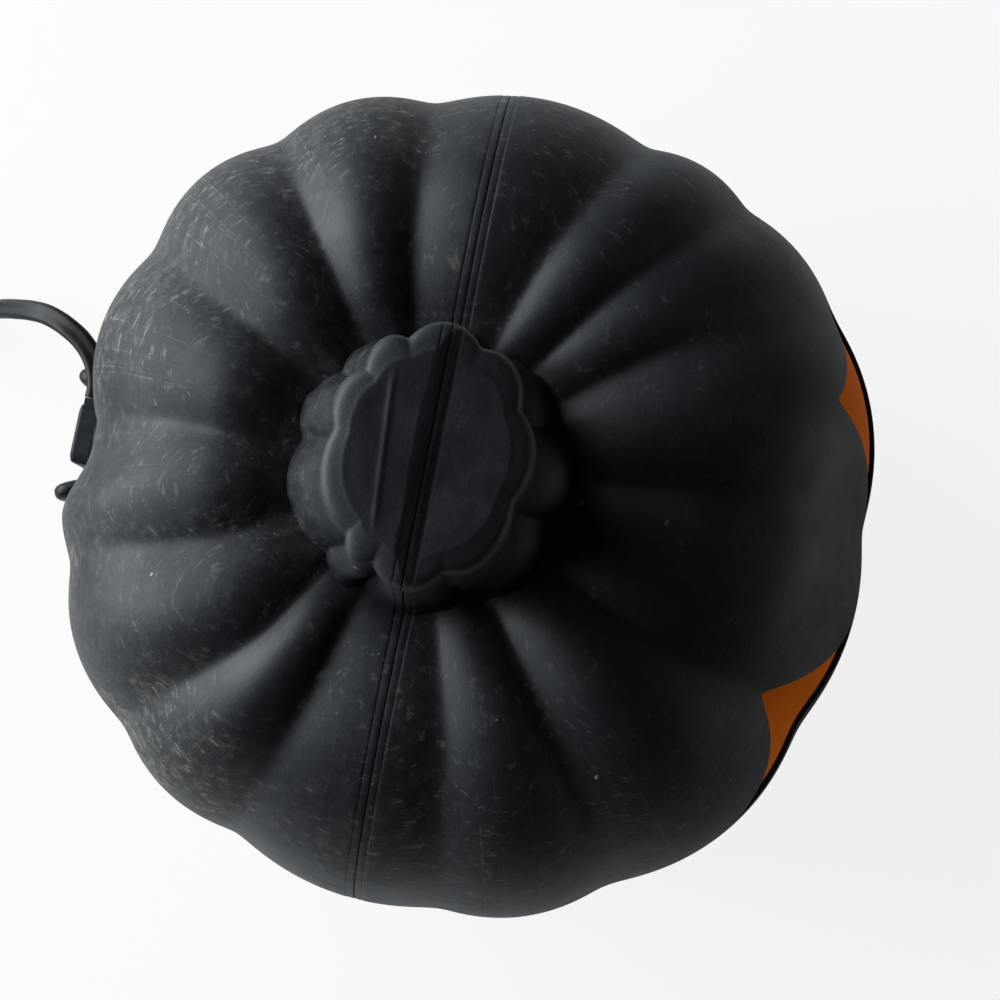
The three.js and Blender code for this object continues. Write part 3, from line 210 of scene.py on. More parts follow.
def make_camera():
    data = bpy.data.cameras.new("camera")
    data.sensor_width = SENSOR
    data.lens = SENSOR * PIXELS_PER_MM * VIEW_DISTANCE / IMAGE_PIXELS
    data.clip_end = CAMERA_REACH
    camera = linked("camera", data)
    back = VIEW_BACK.normalized()
    right = (VIEW_RIGHT - back * VIEW_RIGHT.dot(back)).normalized()
    matrix = Matrix((right, back.cross(right), back)).transposed().to_4x4()
    matrix.translation = (VIEW_TARGET + back * VIEW_DISTANCE) * MM
    camera.matrix_world = matrix
    bpy.context.scene.camera = camera


make_camera()


# Meshes

def new_object(name, points, faces, smooth_angle=None):
    """A mesh object from points in millimetres."""
    mesh = bpy.data.meshes.new(name)
    mesh.from_pydata([tuple(p) for p in np.asarray(points, float) * MM], [], [tuple(f) for f in faces])
    mesh.update()
    obj = linked(name, mesh)
    if smooth_angle is not None:
        shade(obj, smooth_angle)
    return obj


def shade(obj, angle=CREASE):
    """Smooth faces, with a crease wherever two faces meet at more than an angle in degrees."""
    obj.data.polygons.foreach_set("use_smooth", [True] * len(obj.data.polygons))
    obj.data.set_sharp_from_angle(angle=math.radians(angle))


def fixed(obj):
    """Turns a solid's faces outwards."""
    bm = bmesh.new()
    bm.from_mesh(obj.data)
    if bm.calc_volume(signed=True) < 0:
        bmesh.ops.reverse_faces(bm, faces=bm.faces)
    bm.to_mesh(obj.data)
    bm.free()
    return obj


def combine(obj, other, operation, keep_other=False):
    """One solid boolean, applied at once."""
    modifier = obj.modifiers.new("cut", "BOOLEAN")
    modifier.operation = operation
    modifier.solver = "MANIFOLD"
    modifier.object = other
    graph = bpy.context.evaluated_depsgraph_get()
    made = bpy.data.meshes.new_from_object(obj.evaluated_get(graph))
    obj.modifiers.clear()
    old = obj.data
    obj.data = made
    made.name = obj.name
    bpy.data.meshes.remove(old)
    if not keep_other:
        mesh = other.data
        bpy.data.objects.remove(other)
        bpy.data.meshes.remove(mesh)


def block(low, high):
    (a, b, c), (d, e, f) = low, high
    points = [(x, y, z) for x in (a, d) for y in (b, e) for z in (c, f)]
    faces = [(0, 1, 3, 2), (4, 6, 7, 5), (0, 4, 5, 1), (2, 3, 7, 6), (0, 2, 6, 4), (1, 5, 7, 3)]
    return new_object("block", points, faces)


def prism_along_y(outline, y0, y1):
    """A shape in front view (x, z), counter-clockwise as the front sees it, pushed along Y."""
    n = len(outline)
    points = [(x, y0, z) for x, z in outline] + [(x, y1, z) for x, z in outline]
    faces = [tuple(range(n)), tuple(range(2 * n - 1, n - 1, -1))]
    faces += [(i, n + i, n + (i + 1) % n, (i + 1) % n) for i in range(n)]
    return new_object("prism", points, faces)


def grid_faces(rows, columns):
    """Quads between rows of points, with the last column joined to the first."""
    faces = []
    for k in range(rows - 1):
        for j in range(columns):
            a, b = k * columns + j, k * columns + (j + 1) % columns
            faces.append((a, b, b + columns, a + columns))
    return faces


def turned(name, profile, segments, axis):
    """A closed profile of (radius, height) turned about an axis; points on the axis are single."""
    points, index = [], []
    for radius, height in profile:
        count = 1 if radius < TINY else segments
        index.append((len(points), count))
        for s in range(count):
            turn = 2 * math.pi * s / segments
            x, z = radius * math.cos(turn), radius * math.sin(turn)
            points.append((x, height, -z) if axis == "y" else (x, z, height))
    faces = []
    for (a, na), (b, nb) in zip(index, index[1:] + index[:1]):
        for s in range(segments):
            t = (s + 1) % segments
            if na > 1 and nb > 1:
                faces.append((a + s, a + t, b + t, b + s))
            elif na > 1:
                faces.append((a + s, a + t, b))
            elif nb > 1:
                faces.append((a, b + t, b + s))
    return fixed(new_object(name, points, faces))


def swept(name, centres, section):
    """A closed tube of one section along a line, its section kept level as a flat cord lies."""
    centres = np.asarray(centres, float)
    n, m = len(centres), len(section)
    tangents = np.gradient(centres, axis=0)
    tangents /= np.linalg.norm(tangents, axis=1)[:, None]
    sides = np.stack([-tangents[:, 1], tangents[:, 0], np.zeros(n)], 1)
    sides /= np.linalg.norm(sides, axis=1)[:, None]
    ups = np.cross(tangents, sides)
    section = np.asarray(section, float)
    points = centres[:, None] + sides[:, None] * section[None, :, :1] + ups[:, None] * section[None, :, 1:]
    points = points.reshape(-1, 3)
    faces = [(k * m + j, k * m + (j + 1) % m, (k + 1) * m + (j + 1) % m, (k + 1) * m + j)
             for k in range(n - 1) for j in range(m)]
    faces += [tuple(range(m - 1, -1, -1)), tuple((n - 1) * m + j for j in range(m))]
    return new_object(name, points, faces, CORD_CREASE)


def catmull(points, t, centripetal=False):
    """Points on a Catmull-Rom line at parameters t from 0 to 1, uniform or centripetal."""
    p = np.asarray(points, float)
    p = np.vstack([2 * p[0] - p[1], p, 2 * p[-1] - p[-2]])
    spans = len(points) - 1
    position = np.clip(np.asarray(t, float), 0, 1) * spans
    k = np.minimum(position.astype(int), spans - 1)
    w = (position - k)[:, None]
    p0, p1, p2, p3 = p[k], p[k + 1], p[k + 2], p[k + 3]
    if centripetal:
        d = [np.sqrt(np.linalg.norm(b - a, axis=1))[:, None] for a, b in ((p0, p1), (p1, p2), (p2, p3))]
        t1 = ((p1 - p0) / d[0] - (p2 - p0) / (d[0] + d[1]) + (p2 - p1) / d[1]) * d[1]
        t2 = ((p2 - p1) / d[1] - (p3 - p1) / (d[1] + d[2]) + (p3 - p2) / d[2]) * d[1]
    else:
        t1, t2 = (p2 - p0) / 2, (p3 - p1) / 2
    return p1 + t1 * w + (-3 * p1 + 3 * p2 - 2 * t1 - t2) * w ** 2 + (2 * p1 - 2 * p2 + t1 + t2) * w ** 3


def smooth_step(value, low=0.0, high=1.0):
    """Rises from 0 at low to 1 at high."""
    w = np.clip((np.asarray(value, float) - low) / (high - low), 0, 1)
    return w * w * (3 - 2 * w)


def falling_step(value, low, high):
    """Falls from 1 at low to 0 at high."""
    return smooth_step(-value, -high, -low)


# Cords first: the flat twin cord from the lamp to the switch, and the coil from the switch to the plug

def cord_section(per_side):
    """Two round conductors side by side, with a groove between them."""
    half = CORD_THICKNESS / 2
    turns = np.linspace(-CONDUCTOR_WRAP, CONDUCTOR_WRAP, per_side)
    right = [(half * (1 + math.cos(a)), half * math.sin(a)) for a in turns]
    left = [(-x, -y) for x, y in right]
    return right + left


def coil_route():
    """From the switch, round the coil's layers, to the plug."""
    def ease(share):
        return float(smooth_step(share))

    turns_per_layer = COIL_TURNS / COIL_LAYERS
    points = []
    for i in range(COIL_STRAIGHT_STEPS):
        share = i / COIL_STRAIGHT_STEPS
        drop = ease(share * COIL_EASE - COIL_EASE_DELAY)
        height = CORD_HEIGHT + (COIL_BOTTOM - CORD_HEIGHT) * drop
        points.append((SWITCH_X, COIL_Y - COIL_LEAD_IN * (1 - share), height))
    for i in range(round(COIL_TURNS * COIL_STEPS) + 1):
        turns = i / COIL_STEPS
        inwards = 1 - abs((turns / turns_per_layer) % 2 - 1)
        radius = COIL_RADIUS - COIL_PITCH * turns_per_layer * inwards
        height = COIL_BOTTOM + COIL_LAYER_RISE * sum(
            ease((turns - layer * turns_per_layer) / COIL_RISE_TURNS + 0.5) for layer in range(1, COIL_LAYERS))
        angle = 2 * math.pi * turns
        points.append((COIL_X + radius * math.cos(angle), COIL_Y + radius * math.sin(angle), height))
    x, y, z = points[-1]
    for i in range(1, COIL_STRAIGHT_STEPS + 1):
        share = i / COIL_STRAIGHT_STEPS
        points.append((x, y - COIL_LEAD_OUT * share, z + (CORD_HEIGHT - z) * ease(share * COIL_EASE)))
    return points


lead_path = catmull(LEAD_ROUTE, np.linspace(0, 1, LEAD_POINTS), centripetal=True)
lead = swept("cord_lead_fine", lead_path, cord_section(LEAD_SECTION))
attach(lead, "lamp")
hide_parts("cord_lead")

coil_points = coil_route()
coil_path = catmull(coil_points, np.linspace(0, 1, 2 * (len(coil_points) - 1) + 1))
coil = swept("cord_coil_fine", coil_path, cord_section(COIL_SECTION))
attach(coil, "lamp")
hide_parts("cord_coil")


# Shells: the ribbed body and stem at full detail, in two halves

def swell(share, softness):
    """A rounded bump over a share from 0 to 1, with a soft valley at either end."""
    power = RIB_ROUNDNESS / 2
    low, high = softness ** (2 * power), (1 + softness ** 2) ** power
    return ((np.sin(np.pi * share) ** 2 + softness ** 2) ** power - low) / (high - low)


def part_of_ring(starts, angles):
    """Which part of a ring each angle lies in and how far through it, from where the parts start."""
    starts = np.array(starts, float)
    past = (np.asarray(angles, float) - starts[0]) % 360
    edges = np.append(starts - starts[0], 360.0)
    i = np.clip(np.searchsorted(edges, past, side="right") - 1, 0, len(starts) - 1)
    return i, (past - edges[i]) / (edges[i + 1] - edges[i])


def rib_at(angles):
    """Valley radius, rib height and turn towards the stem at directions in degrees."""
    starts, shares, heights, turns = [np.array(column, float) for column in zip(*RIBS)]
    i, share = part_of_ring(starts, angles)
    following = (i + 1) % len(starts)
    radius = BODY_RADIUS * (shares[i] * (1 - share) + shares[following] * share)
    height = heights[i] * swell(share, VALLEY_SOFTNESS)
    return radius, height, turns[i] * (1 - share) + turns[following] * share


def lobe_at(angles):
    """How full the stem's lobes are at directions in degrees."""
    return swell(part_of_ring(STEM_VALLEYS, angles)[1], LOBE_SOFTNESS)


def height_at_level(level):
    return WIDEST_HEIGHT * (1 + level) if level < 0 else WIDEST_HEIGHT + SHOULDER_RISE * level


def stations(body_rows, stem_rows):
    """Rows up the body and the stem: share, height, rib relief, lobe height, roundness, oval, 1 in the stem."""
    root_share = STEM_ROOT_RADIUS / BODY_RADIUS
    body = BODY_PROFILE + [(root_share, ROOT_LEVEL, ROOT_RELIEF)]
    t = np.arange(body_rows) / body_rows
    line = catmull([(s, height_at_level(v), r) for s, v, r in body], t)
    last_span = (len(body) - 2) / (len(body) - 1)
    low = np.clip((t - last_span) / (1 - last_span), 0, 1) ** 2
    round_share = falling_step(line[:, 0], root_share, ROUND_FROM_SHARE)
    body_list = np.stack([
        line[:, 0], np.maximum(line[:, 1], 0), np.maximum(line[:, 2], 0), STEM_PROFILE[0][2] * low,
        round_share, 0 * t, 0 * t,
    ], 1)
    t = np.arange(stem_rows + 1) / stem_rows
    line = catmull(STEM_PROFILE, t)
    relief = ROOT_RELIEF * np.clip(1 - line[:, 1] / STEM_RIBS_END, 0, 1)
    stem_list = np.stack([
        line[:, 0], height_at_level(ROOT_LEVEL) + line[:, 1], relief, line[:, 2],
        np.ones_like(t), smooth_step(line[:, 1], 0, STEM_OVAL_HEIGHT), np.ones_like(t),
    ], 1)
    return np.vstack([body_list, stem_list])


def body_points(rows, bearings, offset, ribs=1.0, lobes=1.0, stand_off=0.0):
    """Points of the surface at each row and bearing, moved outwards by an offset."""
    share, height, relief, lobe, round_share, oval, stem = [rows[:, i:i + 1] for i in range(7)]
    bearings = np.broadcast_to(bearings, (len(rows), np.shape(bearings)[-1]))
    turned_share = np.where(stem > 0.5, 1.0, falling_step(share, TURN_TO_SHARE, TURN_FROM_SHARE))
    angles = bearings
    for _ in range(TURN_ROUNDS):
        angles = bearings - rib_at(angles)[2] * turned_share
    radius, rib, _ = rib_at(angles)
    valley = np.where(stem > 0.5, share, share * (radius * (1 - round_share) + BODY_RADIUS * round_share))
    run = np.gradient(valley, axis=0)
    rise = np.gradient(np.broadcast_to(height, valley.shape), axis=0)
    size = np.hypot(run, rise) + TINY
    low = 1 - smooth_step(height, LINER_OFF_BELOW, LINER_NEAR_ABOVE)
    out = offset - stand_off * low + ribs * relief * rib
    apart = np.clip(np.abs(bearings - DENT_BEARING) / DENT_HALF_ANGLE, 0, 1)
    dent = DENT_DEPTH * np.cos(np.pi / 2 * apart) ** 2
    dent = dent * smooth_step(share, DENT_FROM_SHARE, DENT_FULL_SHARE) * (1 - stem)
    reach = valley + out * rise / size + lobes * lobe * lobe_at(bearings) - dent
    up = height - out * run / size
    turn = np.radians(bearings)
    x = AXIS_X + STEM_OFFSET_X * oval + reach * np.cos(turn) * (1 + STEM_WIDER * oval)
    y = AXIS_Y + STEM_OFFSET_Y * round_share + reach * np.sin(turn) * (1 - STEM_NARROWER * oval)
    return np.stack([x, y, np.maximum(up, -offset)], -1)


def columns_round(step):
    """Directions in degrees round the body, closely spaced beside the seam at 0 and 180."""
    beside = [math.degrees(math.asin(v / SEAM_REFERENCE)) for v in SEAM_OFFSETS]
    count = round((180 - 2 * beside[-1]) / step)
    middle = list(np.linspace(beside[-1], 180 - beside[-1], count + 1))[1:-1]
    half = beside + middle + [180 - a for a in reversed(beside)]
    return np.array(half + [a + 180 for a in half])


def seam_angles(angles, reach, shift):
    """Bends the directions beside the seam, so that its lines keep their width at every radius."""
    side = np.where(angles < 180, 0.0, 180.0)
    shift = np.where(angles < 180, shift, -shift)
    half = angles - side
    mirrored = half > 90
    from_seam = np.where(mirrored, 180 - half, half)
    edge = math.degrees(math.asin(SEAM_OFFSETS[-1] / SEAM_REFERENCE))
    offset = SEAM_REFERENCE * np.sin(np.radians(np.minimum(from_seam, edge)))
    here_edge = np.degrees(np.arcsin(np.clip((SEAM_OFFSETS[-1] + shift) / reach, -EDGE_LIMIT, EDGE_LIMIT)))
    inside = np.degrees(np.arcsin(np.clip((offset + shift) / reach, -SEAM_LIMIT, SEAM_LIMIT)))
    beyond = here_edge + (from_seam - edge) * (90 - here_edge) / (90 - edge)
    bent = np.where(from_seam <= edge + TINY, inside, beyond)
    return np.where(mirrored, 180 - bent, bent) + side


def stem_waves(x, y):
    """The stem's top face: low waves, in radians per millimetre and radians, and a fine ridge."""
    waves = WAVE_HEIGHT * np.sin(0.23 * x + 0.9 * np.sin(0.17 * y)) * np.cos(0.21 * y - 0.5)
    waves += RIPPLE_HEIGHT * np.sin(0.47 * x - 0.33 * y + 1.1)
    return waves + RIDGE_HEIGHT * np.exp(-((y - RIDGE_Y - RIDGE_SLANT * x) / RIDGE_WIDTH) ** 2)


def closed_solid(name, rings, foot, tip):
    """A solid of rings of points, closed by a point below the first ring and one above the last."""
    total, count = rings.shape[:2]
    points = np.vstack([rings.reshape(-1, 3), foot, tip])
    faces = grid_faces(total, count)
    last, below, above = (total - 1) * count, total * count, total * count + 1
    for j in range(count):
        faces.append((below, (j + 1) % count, j))
        faces.append((above, last + j, last + (j + 1) % count))
    return fixed(new_object(name, points, faces))


def outer_solid(name):
    """The whole outside of the body as a closed solid, with the lines of its seam."""
    step, body_rows, stem_rows = OUTER_DETAIL
    rows = stations(body_rows, stem_rows)
    angles = columns_round(step)
    points = np.zeros((len(rows), len(angles), 3))
    for k in range(len(rows)):
        low, high = max(0, k - 1), min(len(rows), k + 2)
        scale = 1.0 if rows[k, 6] > 0.5 else BODY_RADIUS * VALLEY_MEAN_SHARE
        reach = (rows[k, 0] * scale + rows[k, 3] / 2) * (1 - STEM_NARROWER * rows[k, 5])
        shift = SEAM_Y - AXIS_Y - STEM_OFFSET_Y * rows[k, 4]
        points[k] = body_points(rows[low:high], seam_angles(angles, reach, shift), 0.0)[k - low]
    across = np.abs(points[..., 1] - SEAM_Y)
    band = SEAM_DEPTH * (SEAM_BAND * falling_step(across, SEAM_BAND_INNER, SEAM_BAND_OUTER)
                         + SEAM_LINE * np.exp(-((across - SEAM_LINE_PLACE) / SEAM_LINE_WIDTH) ** 2)
                         + SEAM_GROOVE * falling_step(across, SEAM_GROOVE_INNER, SEAM_GROOVE_OUTER))
    down = np.gradient(points, axis=0)
    along = np.roll(points, -1, axis=1) - np.roll(points, 1, axis=1)
    normal = np.cross(along, down)
    normal /= np.linalg.norm(normal, axis=2)[..., None] + TINY
    points -= normal * band[..., None] * np.clip(points[..., 2:3] / SEAM_FADE_HEIGHT, 0, 1)

    rim = points[-1]
    height = rim[:, 2].mean()
    centre = np.array([AXIS_X + STEM_OFFSET_X, AXIS_Y + STEM_OFFSET_Y, height])
    top = []
    for t in np.linspace(1, 0, TOP_RINGS + 1)[1:-1]:
        ring = centre + (rim - centre) * t
        ring[:, 2] = height + (rim[:, 2] - height) * t ** TOP_RIM_POWER + TOP_CROWN * (1 - t ** 2)
        ring[:, 2] += stem_waves(ring[:, 0], ring[:, 1]) * smooth_step(1 - t, 0.0, TOP_WAVES_FROM)
        top.append(ring)
    return closed_solid(name, np.vstack([points, np.array(top)]), [AXIS_X, AXIS_Y, 0],
                        centre + [0, 0, TOP_CROWN])


def plain_solid(name, detail, offset, ribs=1.0, lobes=1.0, stand_off=0.0):
    """The body at an offset, closed at foot and top, for its inside and for the liner."""
    step, body_rows, stem_rows = detail
    rows = stations(body_rows, stem_rows)
    angles = np.arange(0, 360, step) + COLUMN_SHIFT
    points = body_points(rows, angles, offset, ribs, lobes, stand_off)
    return closed_solid(name, points, [AXIS_X, AXIS_Y, -offset],
                        [AXIS_X + STEM_OFFSET_X, AXIS_Y + STEM_OFFSET_Y, rows[-1, 1] + offset])


def rounded_outline(corners, radius, steps=5):
    """A polygon with each corner rounded."""
    made = []
    n = len(corners)
    for i in range(n):
        before, here, after = (Vector(corners[(i + d) % n]) for d in (-1, 0, 1))
        a, b = (before - here).normalized(), (after - here).normalized()
        half = math.acos(max(-1, min(1, a.dot(b)))) / 2
        reach = radius / math.tan(half)
        centre = here + (a + b).normalized() * (radius / math.sin(half))
        start, end = here + a * reach - centre, here + b * reach - centre
        turn = start.angle_signed(end)
        for s in range(steps + 1):
            rotated = start.copy()
            rotated.rotate(Matrix.Rotation(-turn * s / steps, 2))
            made.append(tuple(centre + rotated))
    return made


def mouth_outline():
    """The smile between two arcs, and the height where its upper teeth begin."""
    def height(x, lowest):
        sag = MOUTH_CORNER - lowest
        radius = (MOUTH_HALF_WIDTH ** 2 + sag ** 2) / (2 * sag)
        return lowest + radius - math.sqrt(radius ** 2 - x ** 2)

    xs = np.linspace(-MOUTH_HALF_WIDTH, MOUTH_HALF_WIDTH, MOUTH_POINTS)
    bottom = [(x, height(x, MOUTH_BOTTOM)) for x in xs]
    top = [(x, height(x, MOUTH_TOP)) for x in xs[::-1][1:-1]]
    return bottom + top, height(UPPER_TEETH_X, MOUTH_TOP)


def face_cutters():
    """The solids that cut the eyes, nose and mouth."""
    cutters = []
    for side in (1, -1):
        corners = [(side * x, z) for x, z in EYE]
        outline = rounded_outline(corners if side > 0 else corners[::-1], FACE_CORNER)
        cutters.append(prism_along_y(outline, -FAR, FACE_BACK))
    cutters.append(prism_along_y(rounded_outline(NOSE, FACE_CORNER), -FAR, FACE_BACK))
    outline, tooth_base = mouth_outline()
    mouth = prism_along_y(outline, -FAR, FACE_BACK)
    half = TOOTH_WIDTH / 2
    teeth = [(0, MOUTH_BOTTOM - TOOTH_HEIGHT, MOUTH_BOTTOM + TOOTH_HEIGHT)]
    teeth += [(s * UPPER_TEETH_X, tooth_base - TOOTH_HEIGHT, tooth_base + TOOTH_HEIGHT) for s in (1, -1)]
    for x, z0, z1 in teeth:
        combine(mouth, block((x - half, -FAR - 1, z0), (x + half, FACE_BACK + 1, z1)), "DIFFERENCE")
    cutters.append(mouth)
    return cutters


def drum(radius, y0, y1):
    """A round solid along the lamp's axis."""
    obj = turned("drum", [(0, y0), (radius, y0), (radius, y1), (0, y1)], ROUND_SEGMENTS, "y")
    obj.data.transform(Matrix.Translation((AXIS_X * MM, 0, LAMP_HEIGHT * MM)))
    return obj


def recess(grown):
    """The hollow under the foot, grown by a wall."""
    radius, top = RECESS_RADIUS + grown, RECESS_DEPTH + grown
    profile = [(0, -1), (radius, -1), (radius - RECESS_TAPER, top), (0, top)]
    obj = turned("recess", profile, ROUND_SEGMENTS, "z")
    obj.data.transform(Matrix.Translation((AXIS_X * MM, AXIS_Y * MM, 0)))
    return obj


def slab(y0, y1):
    """Everything between two planes across Y."""
    return fixed(block((-FAR, y0, -SLAB_BELOW), (FAR, y1, FAR)))


def rod(start, end, radius):
    """A round bar between two points."""
    start, end = Vector(start), Vector(end)
    length = (end - start).length
    obj = turned("rod", [(0, 0), (radius, 0), (radius, length), (0, length)], ROD_SEGMENTS, "z")
    turn = Vector((0, 0, 1)).rotation_difference(end - start).to_matrix().to_4x4()
    obj.data.transform(Matrix.Translation(start * MM) @ turn)
    return obj


def stud_places():
    """Where the washers hold the liner: the middle of each washer's face and the direction inwards."""
    places = []
    for i in range(1, 6):
        points = np.array([v.co for v in NODES[f"liner_washer_{i}"].data.vertices]) / MM
        middle = points.mean(axis=0)
        normal = np.linalg.svd(points - middle)[2][2]
        if normal[1] < 0:
            normal = -normal
        along = (points - middle) @ normal
        places.append((middle + normal * along.min(), normal))
    return places


studs = stud_places()


def stem_cut():
    """A wedge across the stem's top, steep on the seam's front side."""
    top = height_at_level(ROOT_LEVEL) + STEM_PROFILE[-1][1]
    low, high = top - CUT_DEPTH, top + CUT_ABOVE
    out = CUT_WIDTH * (CUT_DEPTH + CUT_ABOVE) / CUT_DEPTH
    section = [(-CUT_LEAN, high), (0.0, low), (CUT_FLOOR, low), (out, high)]
    ends = [(x, CUT_Y + y, z) for x in (-CUT_HALF_LENGTH, CUT_HALF_LENGTH) for y, z in section]
    faces = [(0, 1, 2, 3), (7, 6, 5, 4)] + [(i, i + 4, (i + 1) % 4 + 4, (i + 1) % 4) for i in range(4)]
    return fixed(new_object("stem_cut", ends, faces))


def cut_thin_wall(front):
    """Thins the wall from inside behind the eyes, where the liner lies nearer."""
    thin = plain_solid("thin", THIN_DETAIL, -THIN_WALL)
    reach = LINER_HALF_WIDTH + THIN_MARGIN
    place = block((-reach, -FAR, THIN_ABOVE), (reach, FACE_BACK, LINER_TOP + THIN_MARGIN))
    combine(thin, fixed(place), "INTERSECT")
    combine(front, thin, "DIFFERENCE")


def add_studs(front):
    """Studs from the wall through the liner and its washers."""
    for point, inward in studs:
        low = 1 - float(smooth_step(point[2], WASHER_OFF_BELOW, WASHER_NEAR_ABOVE))
        outward = WASHER_NEAR + WASHER_STAND_OFF * low + STUD_IN_WALL
        combine(front, rod(point - inward * outward, point + inward * STUD_LENGTH, STUD_RADIUS), "UNION")


def build_shells():
    outer = outer_solid("outer")
    combine(outer, stem_cut(), "DIFFERENCE")
    inner = plain_solid("inner", INNER_DETAIL, -WALL, 1.0, INNER_LOBES)
    combine(outer, recess(0), "DIFFERENCE")
    combine(outer, drum(SEAT_RADIUS, SEAT_ROOT, SEAT_Y), "UNION")
    combine(outer, slab(SEAT_Y, FAR), "DIFFERENCE")
    combine(inner, recess(WALL), "DIFFERENCE")
    combine(inner, drum(SEAT_RADIUS - WALL, SEAT_ROOT, SEAT_Y - WALL), "UNION")
    combine(inner, slab(SEAT_Y - WALL, FAR), "DIFFERENCE")
    tongue = plain_solid("tongue", LAP_DETAIL, -WALL / 2 - GAP / 2)
    combine(tongue, recess(WALL / 2 + GAP / 2), "DIFFERENCE")
    combine(tongue, inner, "DIFFERENCE", keep_other=True)
    combine(tongue, slab(SEAM_Y - GAP / 2 - TONGUE_ROOT, SEAM_Y + TONGUE_LENGTH), "INTERSECT")
    combine(outer, inner, "DIFFERENCE")
    front = outer
    front.name = "front_shell_fine"
    rear = linked("rear_shell_fine", outer.data.copy())
    combine(front, slab(-FAR, SEAM_Y - GAP / 2), "INTERSECT")
    combine(front, tongue, "UNION")
    cut_thin_wall(front)
    for cutter in face_cutters():
        combine(front, fixed(cutter), "DIFFERENCE")
    add_studs(front)
    combine(rear, slab(SEAM_Y + GAP / 2, FAR), "INTERSECT")
    rebate = plain_solid("rebate", LAP_DETAIL, -WALL / 2 + GAP / 2)
    combine(rebate, recess(WALL / 2 - GAP / 2), "DIFFERENCE")
    combine(rebate, slab(SEAM_Y - REBATE_START, SEAM_Y + TONGUE_LENGTH + GAP), "INTERSECT")
    combine(rear, rebate, "DIFFERENCE")
    combine(rear, drum(HOLE_RADIUS, SEAT_ROOT, SEAT_Y + 1), "DIFFERENCE")
    for obj, node in ((front, "front_shell"), (rear, "rear_shell")):
        shade(obj, SHELL_CREASE)
        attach(obj, "shell")
        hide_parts(node)
    return front, rear


front_shell, rear_shell = build_shells()


def build_liner():
    """The orange sheet behind the openings, which follows the ribs."""
    face, back = LINER_DEPTH, LINER_DEPTH + LINER_THICKNESS
    sheet = plain_solid("face_liner_fine", LINER_DETAIL, -face, 1.0, 0.0, LINER_STAND_OFF)
    hollow = plain_solid("hollow", LINER_DETAIL, -back, 1.0, 0.0, LINER_STAND_OFF)
    combine(sheet, hollow, "DIFFERENCE")
    corners = [(LINER_HALF_WIDTH, LINER_BOTTOM), (LINER_HALF_WIDTH, LINER_TOP),
               (-LINER_HALF_WIDTH, LINER_TOP), (-LINER_HALF_WIDTH, LINER_BOTTOM)]
    outline = rounded_outline(corners, LINER_CORNER, steps=10)
    combine(sheet, fixed(prism_along_y(outline, -FAR, FACE_BACK)), "INTERSECT")
    for point, inward in studs:
        hole = rod(point - inward * STUD_HOLE_OUTWARD, point + inward * STUD_HOLE_INWARD, STUD_RADIUS + GAP)
        combine(sheet, hole, "DIFFERENCE")
    shade(sheet, SHELL_CREASE)
    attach(sheet, "shell")
    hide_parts("face_liner")
    return sheet


liner = build_liner()


def pebble(name, centre, axes, squareness):
    """A rounded pad: an ellipsoid with fuller corners, on three half axes."""
    def power(value):
        return math.copysign(abs(value) ** squareness, value)

    turns, rows = PEBBLE_TURNS, PEBBLE_ROWS
    places = [(0, 0, -1)]
    for i in range(1, rows):
        tilt = math.pi * (i / rows - 0.5)
        out, up = power(math.cos(tilt)), power(math.sin(tilt))
        for j in range(turns):
            a = 2 * math.pi * j / turns
            places.append((out * power(math.cos(a)), out * power(math.sin(a)), up))
    places.append((0, 0, 1))
    points = np.array(centre) + np.array(places) @ np.array(axes, float)
    faces = [tuple(1 + k for k in f) for f in grid_faces(rows - 1, turns)]
    last = len(places) - 1
    for j in range(turns):
        faces.append((0, 1 + (j + 1) % turns, 1 + j))
        faces.append((last, last - turns + j, last - turns + (j + 1) % turns))
    return fixed(new_object(name, points, faces, PEBBLE_CREASE))


def build_finger_pads():
    """The rounded black ends of the two spring clips, over the clips' bent tips."""
    pads = []
    for node, side in (("clip_arm_right", 1), ("clip_arm_left", -1)):
        low, high = [np.array(v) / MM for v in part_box(node)]
        tip = np.array([high[0] if side > 0 else low[0], high[1], (low[2] + high[2]) / 2])
        along = np.array([side * PAD_SIDEWAYS, PAD_REARWARD, 0]) * PAD_HALF_LENGTH
        across = np.array([side * PAD_REARWARD, -PAD_SIDEWAYS, 0]) * PAD_HALF_THICKNESS
        centre = tip - np.array([side * PAD_INSET_X, PAD_INSET_Y, 0])
        pad = pebble(f"finger_pad_{'right' if side > 0 else 'left'}", centre,
                     [along, across, (0, 0, PAD_HALF_HEIGHT)], PEBBLE_SQUARENESS)
        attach(pad, "clip_right" if side > 0 else "clip_left")
        pads.append(pad)
    return pads


